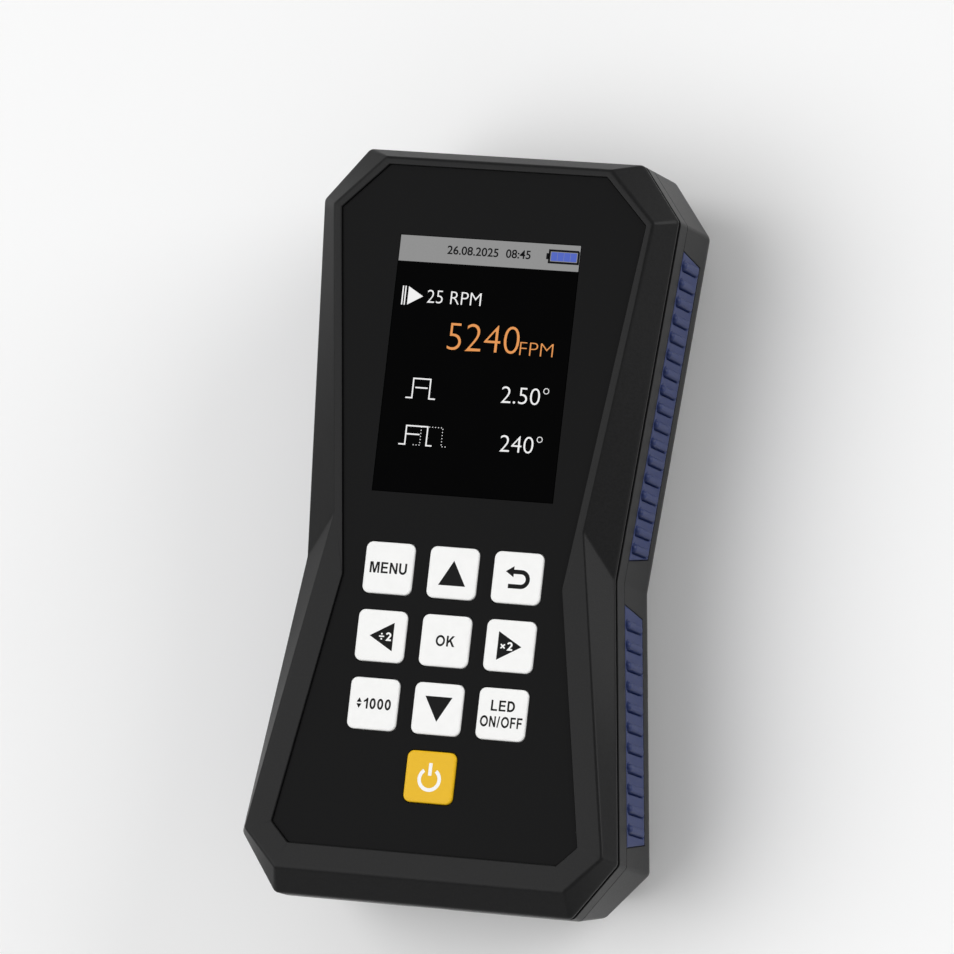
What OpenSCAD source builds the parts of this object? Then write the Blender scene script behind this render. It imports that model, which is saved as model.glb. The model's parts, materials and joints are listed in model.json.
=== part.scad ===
// Handheld stroboscope: a waisted two-part case with side grips, a key panel,
// a colour display and three lamps that shine out of its top end.
// Millimetres. The case lies on its back: X to the right, Y towards the lamp end,
// Z out of the front. The origin is under the middle of the back face.

/* [Case] */
// Overall length of the case, lamp end to foot end
case_length = 150; // [146:1:165]
// Overall thickness of the case, back to front rim
case_depth = 38; // [37:0.5:44]
// Width across the upper corners
upper_width = 75; // [72:0.5:82]
// Width at the waist
waist_width = 65; // [62:0.5:70]
// Width across the lower corners
lower_width = 79; // [76:0.5:86]
// Width of the flat lamp end
top_flat = 58; // [57:0.5:62]
// Width of the flat foot end
foot_flat = 62.5; // [58:0.5:68]
// Length of the slanted upper corners along the case
upper_corner = 10.8; // [9:0.2:13]
// Length of the slanted lower corners along the case
lower_corner = 11.4; // [9:0.2:14]
// Distance of the waist below the middle of the case
waist_drop = 7.8; // [4:0.2:12]
// Thickness of the side walls
wall = 2.4; // [2.2:0.1:2.8]
// Thickness of the back wall
back_wall = 2.5; // [2:0.1:3.5]
// Height of the upright side walls of the rear shell, above the bevel round the back
upright_wall = 14.5; // [14:0.25:18]
// Distance that the bevel draws the back in
back_inset = 5; // [3:0.25:6]
// Distance that the foot end leans in towards the back
foot_lean = 2; // [0.5:0.25:3]
// Depth of the front shell, from the parting line to the rim
front_depth = 10; // [9:0.25:11]
// Rise of the sloping faces round the front
slope_rise = 4; // [3:0.25:4.5]
// Height of the narrow band between the slopes and the shadow groove
groove_land = 0.6; // [0.4:0.1:1]
// Width of the shadow groove under the slopes
groove_w = 1.1; // [0.6:0.1:1.4]
// Depth of the shadow groove
groove_d = 0.5; // [0.2:0.1:0.8]
// Height of the tongue that locates the front shell on the rear shell
tongue_h = 1.5; // [1:0.1:2.5]
// Distance of the tongue from the outside of the case
tongue_inset = 1.4; // [1.3:0.05:1.6]
// Gap round the tongue
tongue_gap = 0.15; // [0.05:0.05:0.3]

/* [Front panel] */
// Distance from the lamp end to the panel
panel_top_inset = 3.4; // [2.8:0.1:5]
// Distance from the upper corners in to the panel
panel_upper_inset = 5.3; // [4.5:0.1:7]
// Distance from the waist in to the panel
panel_waist_inset = 9.3; // [8:0.1:10]
// Distance from the lower corners in to the panel
panel_lower_inset = 7.3; // [6.9:0.1:9]
// Distance from the foot end to the panel
panel_foot_inset = 9.9; // [9:0.1:12]
// Distance of the panel's waist below the middle of the case
panel_waist_drop = 11; // [8:0.2:14]
// Leg of the panel's upper corner cuts
panel_upper_corner = 9.2; // [7:0.2:11]
// Leg of the panel's lower corner cuts
panel_lower_corner = 3.9; // [2.5:0.1:6]
// Width of the flat rim round the upper part of the panel
rim_upper = 1.5; // [1:0.1:2]
// Width of the flat rim round the lower part of the panel
rim_lower = 5.1; // [4:0.1:5.4]
// Thickness of the wall inside the rim
rim_wall = 2.2; // [1.8:0.1:2.8]
// Depth of the overlay below the rim
overlay_recess = 0.5; // [0.2:0.1:0.8]
// Thickness of the overlay
overlay_t = 0.5; // [0.3:0.1:0.8]
// Gap between the overlay and its pocket
overlay_gap = 0.15; // [0.05:0.05:0.3]
// Thickness of the front wall behind the overlay
panel_t = 1.8; // [1.6:0.1:2.4]

/* [Keys] */
// Side of a square key
key_size = 10.3; // [9:0.1:11]
// Corner radius of a key
key_corner = 1.4; // [0.8:0.1:2]
// Distance between key centres
key_pitch = 13.56; // [13:0.02:14]
// Height of a key above the overlay
key_proud = 0.5; // [0.45:0.05:1]
// Gap round a key in its hole
key_gap = 0.2; // [0.1:0.05:0.3]
// Width of the collar that keeps a key in the case
key_collar = 0.65; // [0.5:0.05:0.8]
// Thickness of that collar
key_collar_t = 0.8; // [0.6:0.1:1.2]
// Play between the collar and the front wall
key_play = 0.1; // [0.05:0.05:0.2]
// Distance from the display tray to the top row of key collars
keypad_gap = 6.2; // [5.8:0.1:8]
// Side of a switch
switch_size = 6; // [5:0.1:7]
// Height of a switch
switch_h = 3.4; // [2.8:0.1:4]
// Diameter of a switch plunger
plunger_d = 3.2; // [2.5:0.1:3.8]
// Height of a plunger above its switch
plunger_rise = 0.9; // [0.7:0.1:1.2]
// Depth of a plunger's well in its switch
plunger_well = 1.6; // [1.4:0.1:2]
// Part of the well that the plunger fills
plunger_sink = 0.8; // [0.6:0.1:0.9]
// Gap round a plunger
plunger_gap = 0.15; // [0.1:0.05:0.3]

/* [Display] */
// Width of the visible display
display_w = 38.3; // [36:0.1:40]
// Height of the visible display
display_h = 51.7; // [49:0.1:54]
// Border of the window under the overlay
window_border = 1.5; // [1:0.1:2]
// Thickness of that border
window_border_t = 1; // [0.6:0.1:1.1]
// Border of the display glass beside the picture
glass_border = 1.6; // [1.2:0.1:2]
// Border of the display glass below the picture
glass_foot = 2.1; // [1.6:0.1:3]
// Thickness of the display glass
glass_t = 1.8; // [1.4:0.1:2]
// Gap between the display glass and the front wall
glass_drop = 0.2; // [0.1:0.05:0.4]
// Wall of the display tray
tray_wall = 1; // [0.8:0.1:1.2]
// Gap between the display and its tray
tray_gap = 0.15; // [0.05:0.05:0.3]
// Width of the display ribbon
ribbon_w = 14; // [10:0.5:18]
// Thickness of the display ribbon
ribbon_t = 0.3; // [0.2:0.05:0.4]
// Distance of the ribbon's fold from the display tray
ribbon_reach = 1.4; // [1.2:0.1:1.6]
// Depth of the ribbon's joint in the display glass
ribbon_level = 0.4; // [0.3:0.05:0.6]
// Height of the ribbon's connector
ribbon_socket_h = 1.2; // [1:0.1:1.4]
// Length of the ribbon's connector
ribbon_socket_l = 2.4; // [2:0.1:2.6]
// Margin of the ribbon's connector on each side of the ribbon
ribbon_margin = 1; // [0.5:0.1:1.5]
// Distance of the tray's rim below the display glass
tray_drop = 0.4; // [0.2:0.1:0.8]
// Gap between the display tray and the lamp board
tray_clear = 1.2; // [0.8:0.1:2]

/* [Boards] */
// Thickness of the circuit boards
board_t = 1.6; // [1.2:0.1:2]
// Gap between the main board and the foot end wall
board_gap = 1; // [0.5:0.1:2]
// Diameter of the bosses for the main board
board_boss_d = 4.8; // [4.4:0.1:5]
// Diameter of the main board's screws
board_screw_d = 2; // [1.8:0.1:2.2]
// Head diameter of the main board's screws
board_head_d = 4; // [3.6:0.1:4.4]
// Head height of the small screws
small_head_h = 1.5; // [1.2:0.1:2]
// Distance of the main board's screws from its long edges
board_screw_inset = 3; // [2.6:0.1:4]
// Distance of the lower board screws from the foot edge of the board
board_screw_foot = 12; // [9:0.5:14]
// Length of the main board's screws in their bosses
board_screw_bite = 4; // [3:0.25:4.5]
// Gap between the upper bosses and the display tray
boss_clear = 0.3; // [0.2:0.05:0.5]
// Gap between the main board and the heat sink
board_clear = 2; // [1:0.25:4]
// Side of the processor chip
processor_size = 12; // [8:0.5:14]
// Height of the processor chip
processor_h = 1.4; // [1:0.1:2]
// Side of the boost coil
coil_size = 8; // [6:0.5:10]
// Height of the boost coil
coil_h = 4; // [3:0.25:5]
// Diameter of a flash capacitor
capacitor_d = 8; // [6.3:0.1:9]
// Height of a flash capacitor
capacitor_h = 5.4; // [4:0.2:6]
// Distance between flash capacitors
capacitor_pitch = 10; // [9.4:0.2:11]
// Gap between the flash capacitors and the lamp connector
capacitor_clear = 0.6; // [0.3:0.1:2]
// Gap round the processor chip, towards the flash capacitors and the boost coil
chip_clear = 1; // [0.5:0.1:3]
// Gap between the boost coil and the line of the battery connector
coil_clear = 0.6; // [0.3:0.1:1]
// Width of the charging socket
usb_w = 9; // [8.9:0.1:9.2]
// Height of the charging socket
usb_h = 3.2; // [3.1:0.05:3.4]
// Length of the charging socket
usb_l = 7.4; // [6.5:0.1:9]
// Sheet thickness of the charging socket
usb_sheet = 0.35; // [0.25:0.05:0.5]
// Thickness of the contact tongue in the charging socket
usb_tongue_t = 0.7; // [0.5:0.05:0.9]
// Width of that contact tongue
usb_tongue_w = 6; // [5:0.1:6.8]
// Distance of that contact tongue behind the socket's mouth
usb_tongue_back = 1; // [0.6:0.1:2]
// Thickness of the socket's rear wall
usb_rear = 1; // [0.6:0.1:1.5]
// Distance of the socket's mouth behind the outside of the foot end
usb_recess = 0.9; // [0.7:0.1:1.4]
// Gap round the charging socket in the case
usb_gap = 0.3; // [0.2:0.05:0.5]
// Width of the lead connectors
plug_w = 5; // [4.6:0.1:6]
// Length of the lead connectors
plug_l = 6; // [5:0.1:8]
// Height of the lead connectors
plug_h = 5; // [4:0.1:5.5]
// Diameter of the leads
lead_d = 1.2; // [1:0.1:1.4]
// Distance between the two leads of a pair
lead_pitch = 2; // [1.7:0.1:2.4]
// Distance of the battery connector from the middle of the board
battery_plug_side = 11; // [9:0.5:14]
// Distance that the battery leads span
lead_reach = 4; // [3.5:0.1:5]

/* [Lamps] */
// Distance between lamp centres
lamp_pitch = 17.5; // [16.5:0.1:18]
// Distance of the lamp axis behind the parting line
lamp_drop = 4.7; // [3.6:0.1:5.4]
// Width of the lamp bezel
bezel_w = 52; // [51:0.5:53]
// Height of the lamp bezel
bezel_h = 15; // [14:0.1:15.2]
// Corner radius of the lamp bezel
bezel_corner = 3; // [2:0.25:5]
// Gap round the bezel in the case
bezel_gap = 0.15; // [0.05:0.05:0.3]
// Depth of the bezel's face behind the lamp end
bezel_recess = 0.2; // [0:0.1:0.6]
// Width of the bezel's flange inside the case
bezel_flange = 1.4; // [1:0.1:1.6]
// Thickness of the bezel's flange
bezel_flange_t = 1.2; // [1:0.1:2]
// Thickness of the bezel's gasket
gasket_t = 0.8; // [0.6:0.1:1.2]
// Diameter of a lens in the bezel
lens_d = 12; // [11:0.1:12.4]
// Gap round a lens in the bezel
lens_gap = 0.2; // [0.1:0.05:0.3]
// Depth of a lens behind the bezel's face
lens_recess = 0.6; // [0.3:0.1:1]
// Diameter of the lens collar behind the bezel
lens_collar_d = 13.4; // [13:0.1:13.8]
// Thickness of the lens collar
lens_collar_t = 1; // [0.8:0.1:1.4]
// Diameter of a lens at its lamp
lens_foot_d = 6; // [5.4:0.1:7]
// Length of the lens cups
cup_l = 6.3; // [6:0.1:7]
// Outside diameter of the lens cups
cup_d = 14.4; // [14.2:0.1:15]
// Wall of the lens cups
cup_wall = 0.7; // [0.5:0.05:0.8]
// Height of the lens foot above the lamp board
lens_lift = 1.1; // [0.8:0.1:1.6]
// Gap between a lens and its cup
lens_cup_gap = 0.3; // [0.2:0.05:0.5]
// Depth of the hollow over a lamp chip
lens_hollow = 1.4; // [1:0.1:2]
// Gap round a lamp chip's dome in that hollow
dome_gap = 0.4; // [0.3:0.05:0.6]
// Side of a lamp chip's package
chip_size = 3.5; // [3:0.1:3.8]
// Height of a lamp chip's package
chip_h = 0.9; // [0.7:0.1:1]
// Diameter of a lamp chip's dome
dome_d = 2.6; // [2:0.1:2.8]
// Width of the lamp board
lamp_board_w = 54; // [52:0.5:55]
// Height of the lamp board
lamp_board_h = 16; // [15.6:0.1:16.4]
// Gap between the heat sink and the display tray
sink_gap = 0.4; // [0.3:0.1:1]
// Thickness of the heat sink's plates
sink_plate = 3; // [2.4:0.1:3.5]
// Length of the heat sink's fins
fin_l = 11; // [8:0.5:13]
// Thickness of a fin
fin_t = 1.5; // [1:0.1:2]
// Distance between fins
fin_pitch = 5; // [4:0.25:5.2]
// Gap between the heat sink's upright plate and the lamp leads beside it
sink_lead_gap = 0.3; // [0.2:0.05:0.8]
// Half width of the heat sink's foot plate
sink_foot_half = 24; // [23:0.25:25]
// Height of the posts under the heat sink
sink_post_h = 3; // [2:0.25:4]
// Diameter of the posts under the heat sink
sink_post_d = 6; // [5:0.1:7]
// Distance of the heat sink's screw heads from the edge of its foot
sink_edge = 0.8; // [0.5:0.1:1.5]
// Distance of the heat sink's screws from the outside of the back
sink_screw_floor = 1.5; // [1.3:0.1:2]
// Gap between the fins and the lead connectors
fin_clear = 1; // [0.6:0.1:3]
// Diameter of the screws that hold the heat sink
sink_screw_d = 2.5; // [2:0.1:3]
// Head diameter of the screws that hold the heat sink
sink_head_d = 4.4; // [4:0.1:5]

/* [Battery] */
// Diameter of a battery cell
cell_d = 18.3; // [17:0.1:18.6]
// Length of a battery cell
cell_l = 65; // [60:0.5:66]
// Gap between the two cells
cell_gap = 0.4; // [0.2:0.1:1]
// Height of the cells above the back wall
cell_lift = 1.2; // [0.8:0.1:2]
// Gap between the cells and their saddles
saddle_gap = 0.25; // [0.1:0.05:0.4]
// Thickness of the saddles
saddle_t = 2; // [1.5:0.25:3]
// Distance of the cells from the inside of the foot end
cell_foot = 10; // [9:0.5:13]
// Thickness of the welded tabs
tab_t = 0.3; // [0.2:0.05:0.5]
// Width of the welded tabs
tab_w = 7; // [5:0.25:9]
// Length of the welded tabs past each cell's middle
tab_end = 3; // [2:0.25:5]
// Thickness of the battery's protection board
guard_t = 1.2; // [0.8:0.1:1.6]
// Width of the battery's protection board
guard_w = 31; // [26:0.5:35]
// Height of the battery's protection board
guard_h = 12; // [9:0.5:14]
// Length of the foam pad over the cells
pad_l = 28; // [20:1:36]
// Width of the foam pad over the cells
pad_w = 25; // [20:0.5:30]
// Distance of the saddles from the ends of the cells
saddle_end = 13; // [8:0.5:20]
// Height of the saddles below the middle of the cells
saddle_drop = 4.6; // [3:0.1:6]

/* [Fastening] */
// Diameter of the case screws
case_screw_d = 3; // [2.5:0.1:3.5]
// Head diameter of the case screws
case_head_d = 5.5; // [5:0.1:6]
// Head height of the case screws
case_head_h = 2.4; // [2:0.1:3]
// Depth of the case screws' heads in the back
case_head_depth = 11; // [8:0.5:14]
// Length of the case screws' thread in the front shell
case_screw_bite = 5; // [4:0.25:5.5]
// Width across the flats of the case screws' sockets
case_key = 2.1; // [1.8:0.1:2.5]
// Depth of the case screws' sockets
case_key_depth = 1.2; // [0.8:0.1:1.8]
// Depth of a pilot hole past its screw
pilot_spare = 0.5; // [0.3:0.1:1]
// Diameter of the screw columns
column_d = 7.2; // [6.8:0.1:7.6]
// Gap between the screw columns and the display tray
column_gap = 0.6; // [0.4:0.1:1.2]
// Distance of the upper case screws above the middle of the case
upper_screw_y = 38; // [32:1:42]
// Distance of the lower case screws below the middle of the case
lower_screw_y = 52; // [46:1:56]
// Gap round a screw that passes through
screw_gap = 0.2; // [0.1:0.05:0.3]
// Wall bite of a self-tapping screw
screw_bite = 0.2; // [0.1:0.05:0.3]
// Core diameter of the stand thread
stand_core_d = 5.1; // [5:0.05:5.3]
// Outside diameter of the stand insert
stand_insert_d = 9.5; // [8.5:0.1:11]
// Length of the stand insert
stand_insert_l = 8; // [6:0.25:9]
// Wall of the boss round the stand insert
stand_boss_wall = 2.2; // [1.8:0.1:3]
// Gap between the stand insert and its boss
stand_gap = 0.02; // [0.01:0.01:0.05]
// Gap between a screw's core and its pilot hole
thread_gap = 0.01; // [0.01:0.01:0.03]

/* [Grips] */
// Depth of the grips in the side walls
grip_t = 1.2; // [0.9:0.05:1.3]
// Gap round a grip in its pocket
grip_gap = 0.1; // [0.05:0.05:0.2]
// Height of the grips
grip_h = 11; // [9:0.25:12]
// Slant of the grips' ends
grip_slant = 1.6; // [0:0.1:3]
// Band of case above the grips
grip_band = 0.4; // [0.3:0.1:1]
// Distance of the upper grips from the upper corners
upper_grip_top = 5; // [3:0.25:8]
// Distance of the upper grips from the waist
upper_grip_foot = 4.8; // [3:0.25:8]
// Distance of the lower grips from the waist
lower_grip_top = 4; // [3:0.25:8]
// Distance of the lower grips from the lower corners
lower_grip_foot = 4; // [3:0.25:8]
// Distance between ribs on the upper grips
upper_rib_pitch = 3.56; // [3:0.02:4.5]
// Distance between ribs on the lower grips
lower_rib_pitch = 4.06; // [3:0.02:5]
// Width of a rib
rib_w = 1.7; // [1.2:0.1:2]
// Height of a rib
rib_h = 0.7; // [0.3:0.05:0.9]
// Distance of the ribs' ends from the grips' edges
rib_inset = 0.7; // [0.4:0.1:1.2]

/* [Hidden] */
$fn = 48;
eps = 0.01;
tube_sides = 8;
// Points of a half outline and of a whole one
half_n = 5;
ring_n = 2 * half_n;
// Depth to which bosses and posts run into the wall that carries them
fuse = 0.5;
// Length by which a cut runs past the face that it opens
past = 1;

// Colours of the keys
white = [0.93, 0.93, 0.92];
amber = [0.86, 0.62, 0.12];

// Levels, counted down from the front
overlay_z = case_depth - overlay_recess;
panel_z = overlay_z - overlay_t;
panel_back_z = panel_z - panel_t;
collar_z = panel_back_z - key_play;
key_foot_z = collar_z - key_collar_t;
switch_z = key_foot_z - plunger_rise;
board_z = switch_z - switch_h;
board_back_z = board_z - board_t;
parting_z = case_depth - front_depth;
back_bevel = parting_z - upright_wall;
shoulder_z = case_depth - slope_rise;
groove_z = shoulder_z - groove_land;
lamp_z = parting_z - lamp_drop;
glass_z = panel_back_z - glass_drop;
tray_floor_z = board_z + tray_wall;
window_foot_z = panel_z - window_border_t;

// Half outlines, down the right side from the lamp end to the foot end
end_y = case_length / 2;
case_half = [
    [top_flat / 2, end_y],
    [upper_width / 2, end_y - upper_corner],
    [waist_width / 2, -waist_drop],
    [lower_width / 2, lower_corner - end_y],
    [foot_flat / 2, -end_y]];
rear_half = [
    case_half[0],
    case_half[1],
    case_half[2],
    case_half[3],
    [foot_flat / 2, foot_lean - end_y]];
panel_top_y = end_y - panel_top_inset;
panel_foot_y = panel_foot_inset - end_y;
panel_upper_x = upper_width / 2 - panel_upper_inset;
panel_lower_x = lower_width / 2 - panel_lower_inset;
panel_half = [
    [panel_upper_x - panel_upper_corner, panel_top_y],
    [panel_upper_x, panel_top_y - panel_upper_corner],
    [waist_width / 2 - panel_waist_inset, -panel_waist_drop],
    [panel_lower_x, panel_foot_y + panel_lower_corner],
    [panel_lower_x - panel_lower_corner, panel_foot_y]];
rim_half = grow(panel_half, [rim_upper, rim_upper, rim_upper, rim_lower, rim_lower, rim_lower]);
back_half = inset(rear_half, back_inset);
inner_half = inset(case_half, wall);

// Line of lamp parts, counted in from the lamp end
wall_y = end_y - wall;
flange_y = wall_y - gasket_t;
lens_back_y = flange_y - bezel_flange_t;
cup_y = lens_back_y - lens_collar_t;
lamp_board_y = cup_y - cup_l;
sink_y = lamp_board_y - board_t;
sink_back_y = sink_y - sink_plate;
fin_back_y = sink_back_y - fin_l;
sink_z = back_wall + sink_post_h;
sink_top_z = board_z - sink_gap;
sink_screw_x = sink_foot_half - sink_head_d / 2 - sink_edge;
sink_screw_y = (fin_back_y + sink_back_y) / 2;
lamp_screws_at = [
    for (side = [-1, 1])
    [side * lamp_pitch / 2, lamp_z - (lamp_board_h - sink_head_d) / 2]];
sink_core_d = sink_screw_d - 2 * screw_bite;
case_core_d = case_screw_d - 2 * screw_bite;
board_core_d = board_screw_d - 2 * screw_bite;

// Display and keypad, counted down from the lamp board
tray_side = tray_gap + tray_wall;
tray_top_y = sink_y - tray_clear;
display_top_y = tray_top_y - tray_side - glass_border;
display_foot_y = display_top_y - display_h;
display_y = (display_top_y + display_foot_y) / 2;
glass_foot_y = display_foot_y - glass_foot;
glass_h = display_h + glass_border + glass_foot;
glass_w = display_w + 2 * glass_border;
glass_y = glass_foot_y + glass_h / 2;
tray_w = glass_w + 2 * tray_side;
tray_h = glass_h + 2 * tray_side;
tray_foot_y = glass_foot_y - tray_side;
collar_size = key_size + 2 * key_collar;
keypad_y = tray_foot_y - keypad_gap - collar_size / 2;
column_x = tray_w / 2 + column_gap + column_d / 2;

// Main board and what it carries
board_half = tray_w / 2;
board_top_y = sink_back_y - board_clear;
board_foot_y = board_gap + wall - end_y;
board_screws = [
    for (side = [-1, 1])
    for (y = [tray_foot_y - board_boss_d / 2 - boss_clear, board_foot_y + board_screw_foot])
    [side * (board_half - board_screw_inset), y]];
usb_y = usb_recess - end_y;
lamp_plug_x = board_half - plug_w / 2;
lamp_plug_y = fin_back_y;
sink_half = lamp_plug_x - (lead_pitch + lead_d) / 2 - sink_lead_gap;
capacitor_y = lamp_plug_y - (plug_l + capacitor_d) / 2 - capacitor_clear;
chip_top_y = capacitor_y - capacitor_d / 2 - chip_clear;
cell_y = cell_foot + wall - end_y;
cell_top_y = cell_y + cell_l;
guard_y = cell_top_y + tab_t;
battery_plug_x = -battery_plug_side;
coil_x = battery_plug_x + (plug_w + coil_size) / 2 + coil_clear;
processor_x = coil_x + (coil_size + processor_size) / 2 + chip_clear;
battery_plug_y = guard_y + guard_t + lead_reach + plug_l / 2;
cell_x = (cell_d + cell_gap) / 2;
cell_z = back_wall + cell_lift + cell_d / 2;
cell_half = cell_x + cell_d / 2;
pad_z = cell_z + cell_d / 2;
stand_y = (guard_y + fin_back_y) / 2;
case_screws_at = [
    for (side = [-1, 1])
    for (y = [upper_screw_y, -lower_screw_y])
    [side * column_x, y]];

// Grips, each along one straight wall of the case
grip_top_z = parting_z - grip_band;
upper_wall = [case_half[2], case_half[1]];
lower_wall = [case_half[3], case_half[2]];

KEYS = [
    ["menu", -1, 0], ["up", 0, 0], ["back", 1, 0],
    ["halve", -1, 1], ["ok", 0, 1], ["double", 1, 1],
    ["thousand", -1, 2], ["down", 0, 2], ["lamp", 1, 2],
    ["power", 0, 3]];

// Outline functions
function edge_line(a, b, d) =
    let (t = (b - a) / norm(b - a), n = [-t.y, t.x]) [n.x, n.y, n * a + d];
function crossing(p, q) =
    let (k = p[0] * q[1] - p[1] * q[0])
    [(p[2] * q[1] - p[1] * q[2]) / k, (p[0] * q[2] - p[2] * q[0]) / k];
function grow(half, d) =
    let (ends = concat([[0, half[0].y]], half, [[0, half[half_n - 1].y]]),
        lines = [for (i = [0:half_n]) edge_line(ends[i], ends[i + 1], d[i])])
    [for (i = [0:half_n - 1]) crossing(lines[i], lines[i + 1])];
function inset(half, d) = grow(half, [for (i = [0:half_n]) -d]);
function whole(half) = concat(half, [for (i = [half_n - 1:-1:0]) [-half[i].x, half[i].y]]);
function key_at(col, row) = [col * key_pitch, keypad_y - row * key_pitch];

// Side faces between two rings of points, the same left and right
function side_faces(base, i) =
    let (a = base + i, b = base + (i + 1) % ring_n, c = b + ring_n, d = a + ring_n)
    i < half_n ? [[a, b, c], [a, c, d]] : [[a, b, d], [b, c, d]];

// Solid through a pile of half outlines, each with its level, cut flat at both ends
module stack(rings) {
    last = len(rings) - 1;
    low = rings[0];
    high = rings[last];
    pile = concat([[low[0], low[1] - past]], rings, [[high[0], high[1] + past]]);
    points = [for (r = pile) for (p = whole(r[0])) [p.x, p.y, r[1]]];
    foot = [[for (i = [ring_n - 1:-1:0]) i]];
    head = [[for (i = [0:ring_n - 1]) (last + 2) * ring_n + i]];
    sides = [for (k = [0:last + 1]) for (i = [0:ring_n - 1]) each side_faces(k * ring_n, i)];
    intersection() {
        polyhedron(points, concat(foot, head, sides));
        translate([0, 0, low[1]]) block(2 * case_length, 2 * case_length, high[1] - low[1]);
    }
}

// Straight plate of a half outline
module plate(half, z, t) {
    translate([0, 0, z]) linear_extrude(t) polygon(whole(half));
}

module rounded_rect(w, h, r) {
    square([w - 2 * r, h], center = true);
    square([w, h - 2 * r], center = true);
    for (x = [-1, 1])
        for (y = [-1, 1])
            translate([x * (w / 2 - r), y * (h / 2 - r)]) circle(r);
}

module block(w, l, h) {
    translate([-w / 2, -l / 2, 0]) cube([w, l, h]);
}

// Turns a shape drawn in XZ and raised along its Z so that it points to the lamp end
module towards_lamps(y) {
    translate([0, y, 0]) rotate([90, 0, 0]) mirror([0, 0, 1]) children();
}

// Tube of one lead: points in YZ at one x, square to what it meets at both ends
function ring(c, t, x) =
    [for (k = [0:tube_sides - 1])
        let (a = 360 * k / tube_sides, u = lead_d / 2 * cos(a), v = lead_d / 2 * sin(a))
        [x + u, c.x - v * t.y, c.y + v * t.x]];
function heading(path, i) =
    let (last = len(path) - 1,
        ends = i == 0 || i == last,
        d = ends ? [path[last].x - path[0].x, 0] : path[i + 1] - path[i - 1])
    d / norm(d);
module lead(path, x) {
    last = len(path) - 1;
    n = tube_sides;
    points = [for (i = [0:last]) each ring(path[i], heading(path, i), x)];
    sides = [for (i = [0:last - 1]) for (k = [0:n - 1])
        let (a = i * n + k, b = i * n + (k + 1) % n)
        each [[a, b, b + n], [a, b + n, a + n]]];
    caps = [[for (k = [n - 1:-1:0]) k], [for (k = [0:n - 1]) last * n + k]];
    polyhedron(points, concat(sides, caps));
}

// Cuts shared by both shells
module bezel_cut() {
    towards_lamps(wall_y - eps)
        linear_extrude(wall + past)
            translate([0, lamp_z]) rounded_rect(bezel_w, bezel_h, bezel_corner);
}

module usb_cut() {
    translate([-usb_w / 2 - usb_gap, -end_y - past, board_back_z - usb_h - usb_gap])
        cube([usb_w + 2 * usb_gap, wall + foot_lean + past, usb_h + 2 * usb_gap]);
}

// Moves to the foot of a wall, with X out of the case and Y along the wall
module on_wall(ends, side) {
    run = ends[1] - ends[0];
    turn = -atan2(run.x, run.y);
    if (side > 0)
        translate([ends[0].x, ends[0].y, 0]) rotate([0, 0, turn]) children();
    else
        mirror([1, 0, 0]) translate([ends[0].x, ends[0].y, 0]) rotate([0, 0, turn]) children();
}

module grip_outline(start, stop, gap) {
    polygon([
        [start - gap, grip_top_z + gap],
        [stop + gap, grip_top_z + gap],
        [stop - grip_slant + gap, grip_top_z - grip_h - gap],
        [start + grip_slant - gap, grip_top_z - grip_h - gap]]);
}

module grip_pocket(ends, foot, top, side) {
    run = norm(ends[1] - ends[0]);
    on_wall(ends, side)
        translate([-grip_t - grip_gap, 0, 0])
            rotate([90, 0, 90]) linear_extrude(grip_t + past) grip_outline(foot, run - top, grip_gap);
}

module grip(ends, foot, top, pitch, side) {
    run = norm(ends[1] - ends[0]);
    length = run - top - foot;
    count = floor((length - 2 * grip_slant - rib_w) / pitch) + 1;
    first = foot + (length - (count - 1) * pitch) / 2;
    rib_l = grip_h - 2 * rib_inset - rib_w;
    color([0.13, 0.16, 0.34]) on_wall(ends, side) {
        translate([-grip_t, 0, 0])
            rotate([90, 0, 90]) linear_extrude(grip_t) grip_outline(foot, run - top, 0);
        for (i = [0:count - 1])
            translate([-grip_t / 2, first + i * pitch, grip_top_z - grip_h / 2])
                rotate([90, 0, 90]) linear_extrude(grip_t / 2 + rib_h) {
                    square([rib_w, rib_l], center = true);
                    for (e = [-1, 1])
                        translate([0, e * rib_l / 2]) circle(rib_w / 2);
                }
    }
}

module upper_grip(side) {
    grip(upper_wall, upper_grip_foot, upper_grip_top, upper_rib_pitch, side);
}

module lower_grip(side) {
    grip(lower_wall, lower_grip_foot, lower_grip_top, lower_rib_pitch, side);
}

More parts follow.
